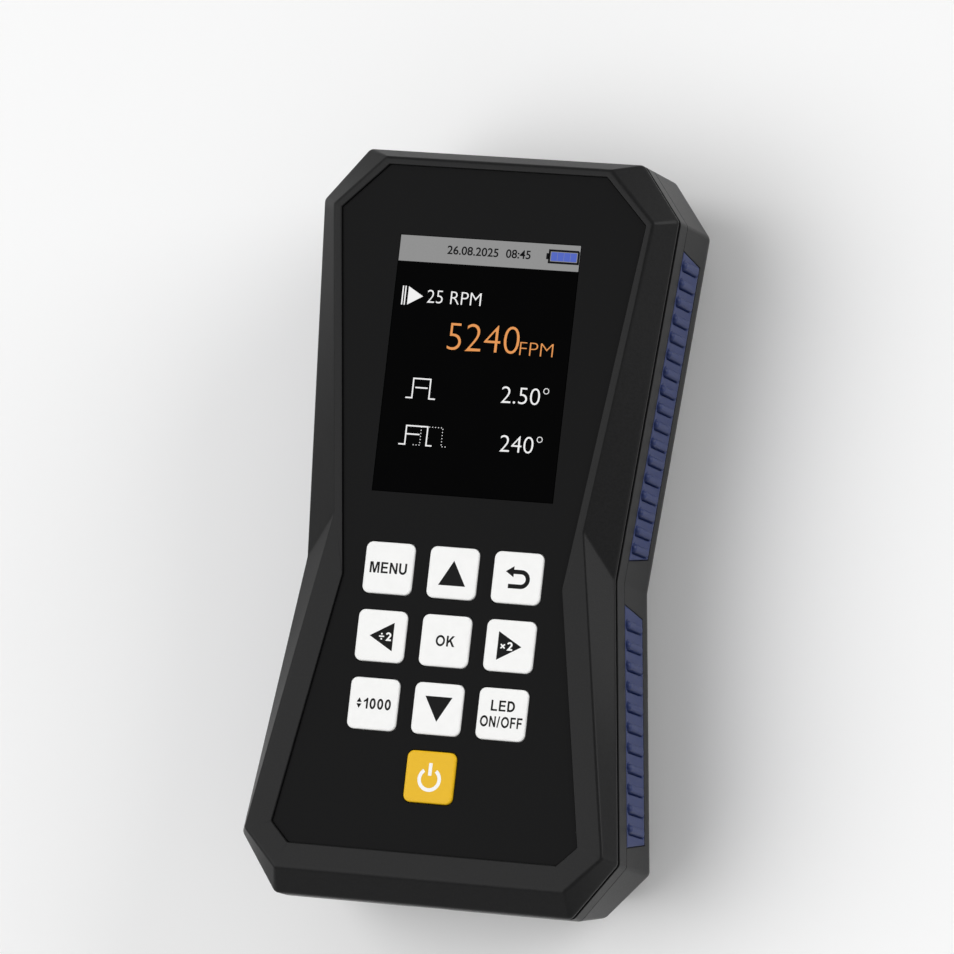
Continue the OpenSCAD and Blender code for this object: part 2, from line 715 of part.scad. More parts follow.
module front_shell() {
    slot_half = inset(case_half, groove_d);
    low_z = groove_z - groove_w;
    color([0.09, 0.09, 0.1]) difference() {
        union() {
            difference() {
                stack([
                    [case_half, parting_z], [case_half, low_z], [slot_half, low_z],
                    [slot_half, groove_z], [case_half, groove_z], [case_half, shoulder_z],
                    [rim_half, case_depth]]);
                stack([
                    [inner_half, parting_z - past], [inner_half, groove_z],
                    [inset(rim_half, rim_wall), panel_back_z]]);
            }
            for (p = case_screws_at)
                translate([p.x, p.y, parting_z])
                    cylinder(d = column_d, h = panel_back_z + fuse - parting_z);
            for (p = board_screws)
                translate([p.x, p.y, board_z])
                    cylinder(d = board_boss_d, h = panel_back_z + fuse - board_z);
        }
        plate(panel_half, panel_z, case_depth);
        plate(inset(case_half, tongue_inset - tongue_gap), parting_z - past, tongue_h + tongue_gap + past);
        for (p = case_screws_at)
            translate([p.x, p.y, parting_z - eps])
                cylinder(d = case_core_d, h = case_screw_bite + pilot_spare);
        for (p = board_screws)
            translate([p.x, p.y, board_z - eps])
                cylinder(d = board_core_d, h = board_screw_bite + pilot_spare);
        for (k = KEYS)
            translate([key_at(k[1], k[2]).x, key_at(k[1], k[2]).y, board_z])
                linear_extrude(case_depth)
                    rounded_rect(key_size + 2 * key_gap, key_size + 2 * key_gap, key_corner + key_gap);
        translate([0, display_y, board_z]) block(display_w, display_h, case_depth);
        translate([0, display_y, window_foot_z])
            block(display_w + 2 * window_border, display_h + 2 * window_border, case_depth);
        bezel_cut();
        usb_cut();
    }
}

module rear_shell() {
    bolt_r = case_screw_d / 2 + screw_gap;
    color([0.11, 0.11, 0.12]) difference() {
        union() {
            difference() {
                union() {
                    stack([[back_half, 0], [rear_half, back_bevel], [case_half, parting_z]]);
                    plate(inset(case_half, tongue_inset), parting_z - fuse, tongue_h + fuse);
                }
                stack([
                    [inset(back_half, wall), back_wall], [inset(rear_half, wall), back_bevel],
                    [inner_half, parting_z], [inner_half, case_depth]]);
            }
            for (p = case_screws_at)
                translate([p.x, p.y, back_wall - fuse])
                    cylinder(d = column_d, h = parting_z - back_wall + fuse);
            for (side = [-1, 1])
                translate([side * sink_screw_x, sink_screw_y, back_wall - fuse])
                    cylinder(d = sink_post_d, h = sink_post_h + fuse);
            for (y = [cell_y + saddle_end, cell_top_y - saddle_end])
                difference() {
                    translate([0, y, back_wall - fuse])
                        block(2 * cell_half, saddle_t, cell_z - saddle_drop - back_wall + fuse);
                    for (side = [-1, 1])
                        translate([side * cell_x, y - saddle_t, cell_z]) rotate([-90, 0, 0])
                            cylinder(d = cell_d + 2 * saddle_gap, h = 2 * saddle_t);
                }
            translate([0, stand_y, back_wall - fuse])
                cylinder(d = stand_insert_d + 2 * stand_boss_wall, h = stand_insert_l);
        }
        for (p = case_screws_at) {
            translate([p.x, p.y, -past]) cylinder(r = bolt_r, h = case_depth);
            translate([p.x, p.y, -past])
                cylinder(d = case_head_d + 2 * screw_gap, h = case_head_depth + past);
        }
        for (side = [-1, 1])
            translate([side * sink_screw_x, sink_screw_y, sink_screw_floor - pilot_spare])
                cylinder(d = sink_core_d, h = case_depth);
        translate([0, stand_y, -past])
            cylinder(d = stand_insert_d + 2 * stand_gap, h = stand_insert_l + past);
        for (side = [-1, 1]) {
            grip_pocket(upper_wall, upper_grip_foot, upper_grip_top, side);
            grip_pocket(lower_wall, lower_grip_foot, lower_grip_top, side);
        }
        bezel_cut();
        usb_cut();
    }
}

module front_overlay() {
    color([0.05, 0.05, 0.055]) difference() {
        plate(inset(panel_half, overlay_gap), panel_z, overlay_t);
        for (k = KEYS)
            translate([key_at(k[1], k[2]).x, key_at(k[1], k[2]).y, panel_z - past])
                linear_extrude(overlay_t + 2 * past)
                    rounded_rect(key_size + 2 * key_gap, key_size + 2 * key_gap, key_corner + key_gap);
        translate([0, display_y, panel_z - past]) block(display_w, display_h, overlay_t + 2 * past);
    }
}

module display_window() {
    color([0.03, 0.03, 0.035]) translate([0, display_y, window_foot_z]) {
        block(display_w - 2 * tray_gap, display_h - 2 * tray_gap, overlay_z - window_foot_z);
        block(
            display_w + 2 * (window_border - tray_gap), display_h + 2 * (window_border - tray_gap),
            window_border_t);
    }
}

module display_glass() {
    color([0.05, 0.05, 0.08])
        translate([0, glass_y, glass_z - glass_t]) block(glass_w, glass_h, glass_t);
}

module display_backlight() {
    color([0.9, 0.9, 0.88])
        translate([0, glass_y, tray_floor_z]) block(glass_w, glass_h, glass_z - glass_t - tray_floor_z);
}

module display_tray() {
    color([0.2, 0.2, 0.21]) difference() {
        translate([0, glass_y, board_z]) block(tray_w, tray_h, glass_z - tray_drop - board_z);
        translate([0, glass_y, tray_floor_z])
            block(tray_w - 2 * tray_wall, tray_h - 2 * tray_wall, case_depth);
        translate([0, tray_foot_y, glass_z - glass_t])
            block(ribbon_w + ribbon_margin, 4 * tray_wall, case_depth);
    }
}

module display_ribbon() {
    level = glass_z - glass_t + ribbon_level;
    drop_y = tray_foot_y - ribbon_reach;
    foot_z = board_z + ribbon_socket_h;
    color([0.75, 0.5, 0.2])
        translate([-ribbon_w / 2, 0, 0]) rotate([90, 0, 90]) linear_extrude(ribbon_w)
            polygon([
                [glass_foot_y, level], [drop_y - ribbon_t, level],
                [drop_y - ribbon_t, foot_z], [drop_y, foot_z],
                [drop_y, level - ribbon_t], [glass_foot_y, level - ribbon_t]]);
}

module ribbon_connector() {
    color([0.85, 0.82, 0.74])
        translate([0, tray_foot_y - ribbon_reach, board_z])
            block(ribbon_w + 2 * ribbon_margin, ribbon_socket_l, ribbon_socket_h);
}

module main_board() {
    color([0.05, 0.3, 0.14]) difference() {
        translate([-board_half, board_foot_y, board_back_z])
            cube([2 * board_half, board_top_y - board_foot_y, board_t]);
        for (p = board_screws)
            translate([p.x, p.y, 0]) cylinder(d = board_screw_d + 2 * screw_gap, h = case_depth);
    }
}

module switch_bodies() {
    color([0.16, 0.16, 0.17])
        for (k = KEYS)
            translate([key_at(k[1], k[2]).x, key_at(k[1], k[2]).y, board_z])
                difference() {
                    block(switch_size, switch_size, switch_h);
                    translate([0, 0, switch_h - plunger_well])
                        cylinder(d = plunger_d + 2 * plunger_gap, h = plunger_well + past);
                }
}

module processor_chip() {
    color([0.1, 0.1, 0.11])
        translate([processor_x, chip_top_y - processor_size / 2, board_back_z - processor_h])
            block(processor_size, processor_size, processor_h);
}

module flash_capacitors() {
    color([0.7, 0.7, 0.72])
        for (i = [-1, 0, 1])
            translate([i * capacitor_pitch, capacitor_y, board_back_z - capacitor_h])
                cylinder(d = capacitor_d, h = capacitor_h);
}

module boost_coil() {
    color([0.25, 0.24, 0.24])
        translate([coil_x, chip_top_y - coil_size / 2, board_back_z - coil_h])
            block(coil_size, coil_size, coil_h);
}

module usb_socket() {
    color([0.7, 0.7, 0.72]) translate([0, usb_y, board_back_z - usb_h]) {
        difference() {
            translate([-usb_w / 2, 0, 0]) cube([usb_w, usb_l, usb_h]);
            translate([usb_sheet - usb_w / 2, -past, usb_sheet])
                cube([usb_w - 2 * usb_sheet, usb_l + past - usb_rear, usb_h - 2 * usb_sheet]);
        }
        translate([-usb_tongue_w / 2, usb_tongue_back, (usb_h - usb_tongue_t) / 2])
            cube([usb_tongue_w, usb_l - usb_tongue_back - usb_rear / 2, usb_tongue_t]);
    }
}

module battery_connector() {
    color([0.9, 0.88, 0.82])
        translate([battery_plug_x, battery_plug_y, board_back_z - plug_h]) block(plug_w, plug_l, plug_h);
}

module lamp_connector() {
    color([0.9, 0.88, 0.82])
        translate([lamp_plug_x, lamp_plug_y, board_back_z - plug_h]) block(plug_w, plug_l, plug_h);
}

module battery_leads() {
    start = guard_y + guard_t;
    stop = battery_plug_y - plug_l / 2;
    mid = (start + stop) / 2;
    low = cell_z + guard_h / 4;
    high = board_back_z - plug_h / 2;
    straight = (stop - start) / 5;
    turn = 2 * straight;
    path = [
        [start, low], [start + straight, low], [mid - straight / 2, low + turn / 3], [mid, low + turn],
        [mid, high - turn], [mid + straight / 2, high - turn / 3], [stop - straight, high], [stop, high]];
    color([0.6, 0.08, 0.06])
        for (side = [-0.5, 0.5])
            lead(path, battery_plug_x + side * lead_pitch);
}

module lamp_leads() {
    start = sink_y;
    stop = lamp_plug_y + plug_l / 2;
    low = lamp_z - lead_d;
    high = board_back_z - plug_h / 2;
    step = (start - stop) / 6;
    path = [
        [start, low], [start - step, low], [start - 2 * step, low + (high - low) / 4],
        [stop + 2 * step, high - (high - low) / 4], [stop + step, high], [stop, high]];
    color([0.6, 0.08, 0.06])
        for (side = [-0.5, 0.5])
            lead(path, lamp_plug_x + side * lead_pitch);
}

module key(col, row, tone) {
    collar_corner = key_corner + key_collar;
    color(tone) translate([key_at(col, row).x, key_at(col, row).y, key_foot_z]) {
        linear_extrude(overlay_z + key_proud - key_foot_z) rounded_rect(key_size, key_size, key_corner);
        linear_extrude(key_collar_t) rounded_rect(collar_size, collar_size, collar_corner);
    }
}

module plunger(col, row) {
    color([0.75, 0.7, 0.6])
        translate([key_at(col, row).x, key_at(col, row).y, switch_z - plunger_sink])
            cylinder(d = plunger_d, h = plunger_sink + plunger_rise);
}

module flange_outline() {
    w = bezel_w + 2 * bezel_flange;
    h = bezel_h + 2 * bezel_flange;
    rounded_rect(w, h, bezel_corner + bezel_flange);
}

module lamp_bezel() {
    face_w = bezel_w - 2 * bezel_gap;
    face_h = bezel_h - 2 * bezel_gap;
    color([0.08, 0.08, 0.09]) difference() {
        union() {
            towards_lamps(lens_back_y)
                linear_extrude(bezel_flange_t)
                    translate([0, lamp_z]) flange_outline();
            towards_lamps(lens_back_y)
                linear_extrude(end_y - bezel_recess - lens_back_y)
                    translate([0, lamp_z])
                        rounded_rect(face_w, face_h, bezel_corner - bezel_gap);
        }
        for (i = [-1, 0, 1])
            translate([i * lamp_pitch, lens_back_y - past, lamp_z]) rotate([-90, 0, 0])
                cylinder(d = lens_d + 2 * lens_gap, h = end_y);
    }
}

module bezel_gasket() {
    color([0.2, 0.2, 0.2])
        towards_lamps(flange_y)
            linear_extrude(gasket_t)
                translate([0, lamp_z])
                    difference() {
                        flange_outline();
                        rounded_rect(bezel_w + bezel_gap, bezel_h + bezel_gap, bezel_corner);
                    }
}

// Lens outline: radius against distance from the lamp board
module lamp_lenses() {
    collar = cup_l;
    front = end_y - bezel_recess - lens_recess - lamp_board_y;
    color([0.85, 0.88, 0.95])
        for (i = [-1, 0, 1])
            translate([i * lamp_pitch, lamp_board_y, lamp_z]) rotate([-90, 0, 0])
                difference() {
                    rotate_extrude()
                        polygon([
                            [0, lens_lift], [lens_foot_d / 2, lens_lift],
                            [cup_d / 2 - cup_wall - lens_cup_gap, collar], [lens_collar_d / 2, collar],
                            [lens_collar_d / 2, collar + lens_collar_t],
                            [lens_d / 2, collar + lens_collar_t],
                            [lens_d / 2, front], [0, front]]);
                    translate([0, 0, lens_lift - past])
                        cylinder(d = dome_d + 2 * dome_gap, h = lens_hollow + past);
                }
}

module lens_cups() {
    color([0.12, 0.12, 0.13])
        for (i = [-1, 0, 1])
            translate([i * lamp_pitch, lamp_board_y, lamp_z]) rotate([-90, 0, 0])
                difference() {
                    cylinder(d = cup_d, h = cup_l);
                    translate([0, 0, lens_lift - lens_cup_gap])
                        cylinder(d = cup_d - 2 * cup_wall, h = cup_l);
                    translate([0, 0, -past]) cylinder(d = lens_foot_d, h = cup_l);
                }
}

module lamp_chips() {
    color([0.9, 0.85, 0.5])
        for (i = [-1, 0, 1])
            translate([i * lamp_pitch, lamp_board_y, lamp_z]) rotate([-90, 0, 0]) {
                block(chip_size, chip_size, chip_h);
                intersection() {
                    translate([0, 0, chip_h / 2]) sphere(d = dome_d);
                    block(chip_size, chip_size, chip_size);
                }
            }
}

module lamp_board() {
    color([0.85, 0.85, 0.83]) difference() {
        translate([-lamp_board_w / 2, sink_y, lamp_z - lamp_board_h / 2])
            cube([lamp_board_w, board_t, lamp_board_h]);
        for (p = lamp_screws_at)
            translate([p.x, sink_y - past, p.y]) rotate([-90, 0, 0])
                cylinder(d = sink_screw_d + 2 * screw_gap, h = board_t + 2 * past);
    }
}

module lamp_board_screws() {
    color([0.75, 0.75, 0.77])
        for (p = lamp_screws_at)
            translate([p.x, sink_back_y, p.y]) rotate([-90, 0, 0]) {
                cylinder(d = sink_core_d - 2 * thread_gap, h = sink_plate + board_t);
                translate([0, 0, sink_plate + board_t]) cylinder(d = sink_head_d, h = small_head_h);
            }
}

module heat_sink() {
    fins = floor((2 * sink_half - fin_t) / fin_pitch);
    color([0.72, 0.73, 0.75]) difference() {
        union() {
            translate([-sink_half, sink_back_y, sink_z])
                cube([2 * sink_half, sink_plate, sink_top_z - sink_z]);
            translate([-sink_foot_half, fin_back_y, sink_z])
                cube([2 * sink_foot_half, sink_y - fin_back_y, sink_plate]);
            for (i = [0:fins - 1])
                translate([(i - (fins - 1) / 2) * fin_pitch - fin_t / 2, fin_back_y, sink_z])
                    cube([fin_t, sink_y - fin_back_y, board_back_z - plug_h - fin_clear - sink_z]);
        }
        for (p = lamp_screws_at)
            translate([p.x, sink_back_y - past, p.y]) rotate([-90, 0, 0])
                cylinder(d = sink_core_d, h = sink_plate + 2 * past);
        for (side = [-1, 1])
            translate([side * sink_screw_x, sink_screw_y, 0])
                cylinder(d = sink_screw_d + 2 * screw_gap, h = case_depth);
    }
}

module heat_sink_screws() {
    reach = sink_z + sink_plate - sink_screw_floor;
    color([0.75, 0.75, 0.77])
        for (side = [-1, 1])
            translate([side * sink_screw_x, sink_screw_y, sink_screw_floor]) {
                cylinder(d = sink_core_d - 2 * thread_gap, h = reach);
                translate([0, 0, reach]) cylinder(d = sink_head_d, h = small_head_h);
            }
}

module battery_cells() {
    color([0.2, 0.45, 0.7])
        for (side = [-1, 1])
            translate([side * cell_x, cell_y, cell_z]) rotate([-90, 0, 0]) cylinder(d = cell_d, h = cell_l);
}

module battery_tabs() {
    color([0.78, 0.78, 0.76])
        for (y = [cell_y - tab_t, cell_top_y])
            translate([-cell_x - tab_end, y, cell_z - tab_w / 2])
                cube([2 * (cell_x + tab_end), tab_t, tab_w]);
}

module battery_guard() {
    color([0.05, 0.3, 0.14])
        translate([-guard_w / 2, guard_y, cell_z - guard_h / 2]) cube([guard_w, guard_t, guard_h]);
}

module battery_pad() {
    color([0.25, 0.25, 0.26])
        translate([0, (cell_y + cell_top_y) / 2, pad_z]) block(pad_w, pad_l, board_back_z - pad_z);
}

module stand_insert() {
    color([0.8, 0.62, 0.25]) translate([0, stand_y, 0]) difference() {
        cylinder(d = stand_insert_d, h = stand_insert_l);
        translate([0, 0, -past]) cylinder(d = stand_core_d, h = stand_insert_l + 2 * past);
    }
}

module case_screws() {
    reach = parting_z + case_screw_bite - case_head_depth;
    color([0.7, 0.7, 0.72])
        for (p = case_screws_at)
            translate([p.x, p.y, case_head_depth]) {
                cylinder(d = case_core_d - 2 * thread_gap, h = reach);
                difference() {
                    translate([0, 0, -case_head_h]) cylinder(d = case_head_d, h = case_head_h);
                    translate([0, 0, -case_head_h - past])
                        cylinder(d = case_key / cos(30), h = case_key_depth + past, $fn = 6);
                }
            }
}

module board_screws_group() {
    color([0.75, 0.75, 0.77])
        for (p = board_screws)
            translate([p.x, p.y, board_back_z]) {
                cylinder(d = board_core_d - 2 * thread_gap, h = board_t + board_screw_bite);
                translate([0, 0, -small_head_h]) cylinder(d = board_head_d, h = small_head_h);
            }
}

front_shell();
rear_shell();
front_overlay();
display_window();
display_glass();
display_backlight();
display_tray();
display_ribbon();
ribbon_connector();
main_board();
switch_bodies();
processor_chip();
flash_capacitors();
boost_coil();
usb_socket();
battery_connector();
lamp_connector();
battery_leads();
lamp_leads();
key(-1, 0, white);  // menu_key
key(0, 0, white);  // up_key
key(1, 0, white);  // back_key
key(-1, 1, white);  // halve_key
key(0, 1, white);  // ok_key
key(1, 1, white);  // double_key
key(-1, 2, white);  // thousand_key
key(0, 2, white);  // down_key
key(1, 2, white);  // lamp_key
key(0, 3, amber);  // power_key
plunger(-1, 0);  // menu_plunger
plunger(0, 0);  // up_plunger
plunger(1, 0);  // back_plunger
plunger(-1, 1);  // halve_plunger
plunger(0, 1);  // ok_plunger
plunger(1, 1);  // double_plunger
plunger(-1, 2);  // thousand_plunger
plunger(0, 2);  // down_plunger
plunger(1, 2);  // lamp_plunger
plunger(0, 3);  // power_plunger
upper_grip(-1);  // upper_left_grip
upper_grip(1);  // upper_right_grip
lower_grip(-1);  // lower_left_grip
lower_grip(1);  // lower_right_grip
lamp_bezel();
bezel_gasket();
lamp_lenses();
lens_cups();
lamp_chips();
lamp_board();
lamp_board_screws();
heat_sink();
heat_sink_screws();
battery_cells();
battery_tabs();
battery_guard();
battery_pad();
stand_insert();
case_screws();
board_screws_group();  // board_screws
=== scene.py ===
"""Looks of a handheld stroboscope: case shells, grips, keys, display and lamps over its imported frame."""

import json
import math

import bmesh
import bpy
import numpy as np
from mathutils import Matrix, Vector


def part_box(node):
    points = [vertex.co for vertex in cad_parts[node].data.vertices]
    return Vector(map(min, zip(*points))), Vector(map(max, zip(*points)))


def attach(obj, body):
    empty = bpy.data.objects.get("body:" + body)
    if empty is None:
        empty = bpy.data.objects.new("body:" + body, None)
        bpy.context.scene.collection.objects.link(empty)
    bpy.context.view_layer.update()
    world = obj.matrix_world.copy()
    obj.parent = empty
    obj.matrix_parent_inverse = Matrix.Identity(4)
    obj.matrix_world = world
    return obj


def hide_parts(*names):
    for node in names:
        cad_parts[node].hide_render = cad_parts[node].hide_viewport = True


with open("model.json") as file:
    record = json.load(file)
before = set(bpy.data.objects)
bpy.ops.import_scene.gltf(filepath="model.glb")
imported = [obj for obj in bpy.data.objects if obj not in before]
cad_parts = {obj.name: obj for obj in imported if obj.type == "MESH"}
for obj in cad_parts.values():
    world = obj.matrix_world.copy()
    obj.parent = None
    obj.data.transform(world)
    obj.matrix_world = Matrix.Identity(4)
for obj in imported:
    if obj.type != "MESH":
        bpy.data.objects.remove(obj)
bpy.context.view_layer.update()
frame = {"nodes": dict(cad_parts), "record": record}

bl_info = {
    "name": "Handheld stroboscope",
    "version": (1, 0, 0),
    "blender": (4, 5, 0),
    "location": "3D View > Sidebar > Stroboscope",
    "description": "Builds the case, grips, keys, display and lamps of a handheld stroboscope",
    "category": "Object",
}

MM = 0.001
BODY = "case"
KEYS = ("menu", "up", "back", "halve", "ok", "double", "thousand", "down", "lamp", "power")
ARC_STEPS = 6
CIRCLE_STEPS = 64
PIN_STEPS = 48
EDGE_STEPS = 4
RUN_SHARES = np.array([0.02, 0.26, 0.5, 0.74, 0.98])
CREASE = math.radians(40)

# Points nearer than these are merged: in plain pieces, and in cut ones
SAME_POINT = 1e-7
CUT_POINT = 0.0075 * MM

# Hidden sizes and clearances, the same as those of the solids
TONGUE_INSET = 1.4 * MM
TONGUE_GAP = 0.15 * MM
RIM_WALL = 2.2 * MM
WINDOW_BORDER = 1.5 * MM
WINDOW_GAP = 0.15 * MM
GRIP_GAP = 0.1 * MM
RIB_INSET = 0.7 * MM
KEY_GAP = 0.2 * MM
KEY_COLLAR = 0.8 * MM
BEZEL_FLANGE = 1.4 * MM
BEZEL_FLANGE_T = 1.2 * MM
BEZEL_GAP = 0.15 * MM
LENS_GAP = 0.2 * MM
SOCKET_GAP = 0.3 * MM
COLUMN_D = 7.2 * MM
BOSS_D = 4.8 * MM
BOARD_SCREW_D = 4 * MM
SCREW_HEAD_D = 5.5 * MM
SCREW_HEAD_DEPTH = 11 * MM
SCREW_D = 3 * MM
SCREW_GAP = 0.2 * MM

# How far a pin sinks into the wall that carries it, and how round the socket's sides are
FUSE = 0.5 * MM
SOCKET_ROUND = 0.48


def length(name, description, size):
    """A length property whose default is given in millimetres."""
    return bpy.props.FloatProperty(
        name=name, description=description, default=size * MM, unit="LENGTH", precision=5
    )


def colour(name, description, default):
    """A colour property, in linear light."""
    return bpy.props.FloatVectorProperty(
        name=name, description=description, default=default, subtype="COLOR", size=3, min=0, max=1
    )


class CaseSizes(bpy.types.PropertyGroup):
    """Sizes of the case, the same as those of its solids"""

    top_flat: length("Lamp end", "Width of the flat lamp end", 58)
    upper_width: length("Upper width", "Width across the upper corners", 75)
    waist_width: length("Waist", "Width at the waist", 65)
    lower_width: length("Lower width", "Width across the lower corners", 79)
    foot_flat: length("Foot end", "Width of the flat foot end", 62.5)
    upper_corner: length("Upper corner", "Length of the slanted upper corners", 10.8)
    lower_corner: length("Lower corner", "Length of the slanted lower corners", 11.4)
    waist_drop: length("Waist drop", "Distance of the waist below the middle", 7.8)
    wall: length("Wall", "Thickness of the side walls", 2.4)
    back_wall: length("Back wall", "Thickness of the back wall", 2.5)
    upright: length("Upright wall", "Height of the walls above the back bevel", 14.5)
    back_inset: length("Back inset", "Distance that the bevel draws the back in", 5)
    foot_lean: length("Foot lean", "Distance that the foot end leans in", 2)
    slope_rise: length("Slope rise", "Rise of the sloping faces round the front", 4)
    groove_land: length("Groove land", "Band between the slopes and the groove", 0.6)
    groove_w: length("Groove width", "Width of the shadow groove", 1.1)
    groove_d: length("Groove depth", "Depth of the shadow groove", 0.5)
    panel_t: length("Front wall", "Thickness of the wall behind the overlay", 1.8)
    corner_round: length("Corner round", "Radius of the upright corners", 1.5)
    waist_round: length("Waist round", "Radius of the walls at the waist", 5)
    edge_round: length("Edge round", "Reach of the rounding on the edges", 0.55)


class PanelSizes(bpy.types.PropertyGroup):
    """Sizes of the sunk front panel and its rim"""

    top_inset: length("Top inset", "Distance from the lamp end to the panel", 3.4)
    upper_inset: length("Upper inset", "Distance from the upper corners to the panel", 5.3)
    waist_inset: length("Waist inset", "Distance from the waist to the panel", 9.3)
    lower_inset: length("Lower inset", "Distance from the lower corners to the panel", 7.3)
    foot_inset: length("Foot inset", "Distance from the foot end to the panel", 9.9)
    waist_drop: length("Waist drop", "Distance of the panel's waist below the middle", 11)
    upper_corner: length("Upper corner", "Leg of the upper corner cuts", 9.2)
    lower_corner: length("Lower corner", "Leg of the lower corner cuts", 3.9)
    rim_upper: length("Upper rim", "Width of the flat rim round the upper part", 1.5)
    rim_lower: length("Lower rim", "Width of the flat rim round the lower part", 5.1)


class TrimSizes(bpy.types.PropertyGroup):
    """Sizes of the grips, keys, lamps and stand thread"""

    grip_t: length("Grip depth", "Depth of the grips in the side walls", 1.2)
    grip_slant: length("Grip slant", "Slant of the grips' ends", 1.6)
    grip_soft: length("Grip edge", "Rounding of the grips' edges", 0.35)
    upper_grip_foot: length("Upper grip foot", "Distance of the upper grips from the waist", 4.8)
    upper_grip_top: length("Upper grip top", "Distance of the upper grips from the corners", 5)
    lower_grip_foot: length("Lower grip foot", "Distance of the lower grips from the corners", 4)
    lower_grip_top: length("Lower grip top", "Distance of the lower grips from the waist", 4)
    upper_pitch: length("Upper rib pitch", "Distance between ribs on the upper grips", 3.56)
    lower_pitch: length("Lower rib pitch", "Distance between ribs on the lower grips", 4.06)
    rib_w: length("Rib width", "Width of a rib", 1.7)
    rib_h: length("Rib height", "Height of a rib", 0.7)
    rib_moat: length("Rib hollow", "Depth of the hollow beside a rib", 0.5)
    key_size: length("Key", "Side of a square key", 10.3)
    key_corner: length("Key corner", "Corner radius of a key", 1.4)
    key_edge: length("Key edge", "Rounding of a key's top edge", 0.42)
    bezel_w: length("Bezel width", "Width of the lamp bezel", 52)
    bezel_h: length("Bezel height", "Height of the lamp bezel", 15)
    bezel_corner: length("Bezel corner", "Corner radius of the lamp bezel", 3)
    lamp_pitch: length("Lamp pitch", "Distance between lamps", 17.5)
    lens_d: length("Lens", "Diameter of a lens", 12)
    thread_pitch: length("Thread pitch", "Pitch of the stand thread", 1.27)
    thread_depth: length("Thread depth", "Depth of the stand thread", 0.55)


class Colours(bpy.types.PropertyGroup):
    """Colours of the finishes, in linear light"""

    shell: colour("Shell", "Black moulded case", (0.0085, 0.0085, 0.0088))
    overlay: colour("Overlay", "Black printed film", (0.0048, 0.0048, 0.0050))
    grip: colour("Grip", "Blue rubber", (0.009, 0.021, 0.100))
    key: colour("Key", "White keys", (0.86, 0.86, 0.85))
    power: colour("Power key", "Amber key", (0.76, 0.45, 0.010))
    ink: colour("Ink", "Black print on the keys", (0.006, 0.006, 0.006))
    bar: colour("Status bar", "Grey bar at the head of the display", (0.27, 0.27, 0.27))
    readout: colour("Readout", "Orange figures on the display", (0.80, 0.31, 0.08))
    text: colour("Text", "White figures on the display", (0.90, 0.90, 0.90))
    charge: colour("Charge", "Blue cells of the battery sign", (0.07, 0.12, 0.52))


def unit(v):
    """Vectors of length one."""
    return v / np.linalg.norm(v, axis=-1, keepdims=True)


def grow(half, distance):
    """Half outline with its edges moved out: neighbouring lines n.p = c + distance are crossed."""
    half = np.asarray(half)
    points = np.vstack([[0, half[0, 1]], half, [0, half[-1, 1]]])
    along = unit(np.diff(points, axis=0))
    n = np.stack([-along[:, 1], along[:, 0]], axis=1)
    c = (n * points[:-1]).sum(axis=1) + distance
    det = n[:-1, 0] * n[1:, 1] - n[:-1, 1] * n[1:, 0]
    x = (c[:-1] * n[1:, 1] - n[:-1, 1] * c[1:]) / det
    y = (n[:-1, 0] * c[1:] - c[:-1] * n[1:, 0]) / det
    return np.stack([x, y], axis=1)


def whole(half):
    """Outline from its right half: the half, then its mirror image backwards."""
    return np.vstack([half, half[::-1] * (-1, 1)])


def rectangle(w, h):
    """Corners of a rectangle about the origin."""
    return np.array([[w, h], [w, -h], [-w, -h], [-w, h]]) / 2


def circle(r, steps=CIRCLE_STEPS):
    """Points r (sin t, cos t) round a circle."""
    t = np.linspace(0, 2 * np.pi, steps, endpoint=False)
    return r * np.stack([np.sin(t), np.cos(t)], axis=1)


def rounded(corners, radius):
    """Closed outline with round corners: at each corner an arc about c = a + r n, from the tangent point
    a = p - d r tan(turn / 2), its spokes turned evenly from one edge's normal to the next one's."""
    p = np.asarray(corners, float)
    d = unit(np.roll(p, -1, axis=0) - p)
    before = np.roll(d, 1, axis=0)
    turn = np.arctan2(before[:, 0] * d[:, 1] - before[:, 1] * d[:, 0], (before * d).sum(axis=1))
    side = np.sign(turn)[:, None]
    turn = np.abs(turn)[:, None]
    r = np.broadcast_to(radius, len(p))[:, None]
    reach = r * np.tan(turn / 2)
    n1 = side * np.stack([-before[:, 1], before[:, 0]], axis=1)
    n2 = side * np.stack([-d[:, 1], d[:, 0]], axis=1)
    start = p - before * reach
    stop = p + d * reach
    s = np.linspace(0, 1, ARC_STEPS + 1)
    spokes = np.sin((1 - s) * turn)[..., None] * n1[:, None] + np.sin(s * turn)[..., None] * n2[:, None]
    arcs = (start + n1 * r)[:, None] - r[..., None] * spokes / np.sin(turn)[..., None]
    share = RUN_SHARES[None, :, None]
    runs = stop[:, None] * (1 - share) + np.roll(start, -1, axis=0)[:, None] * share
    return np.concatenate([arcs, runs], axis=1).reshape(-1, 2)


def level(outline, z):
    """Outline raised to one level."""
    return np.column_stack([outline, np.full(len(outline), z)])


def panes(w, h, r, steps, least=0.0):
    """Rings round a rectangle with round corners. Each step is how far the ring grows and its level, and
    no corner radius falls below the least one."""
    return np.stack([
        level(rounded(rectangle(w + 2 * g, h + 2 * g), max(r + g, least)), z) for g, z in steps
    ])


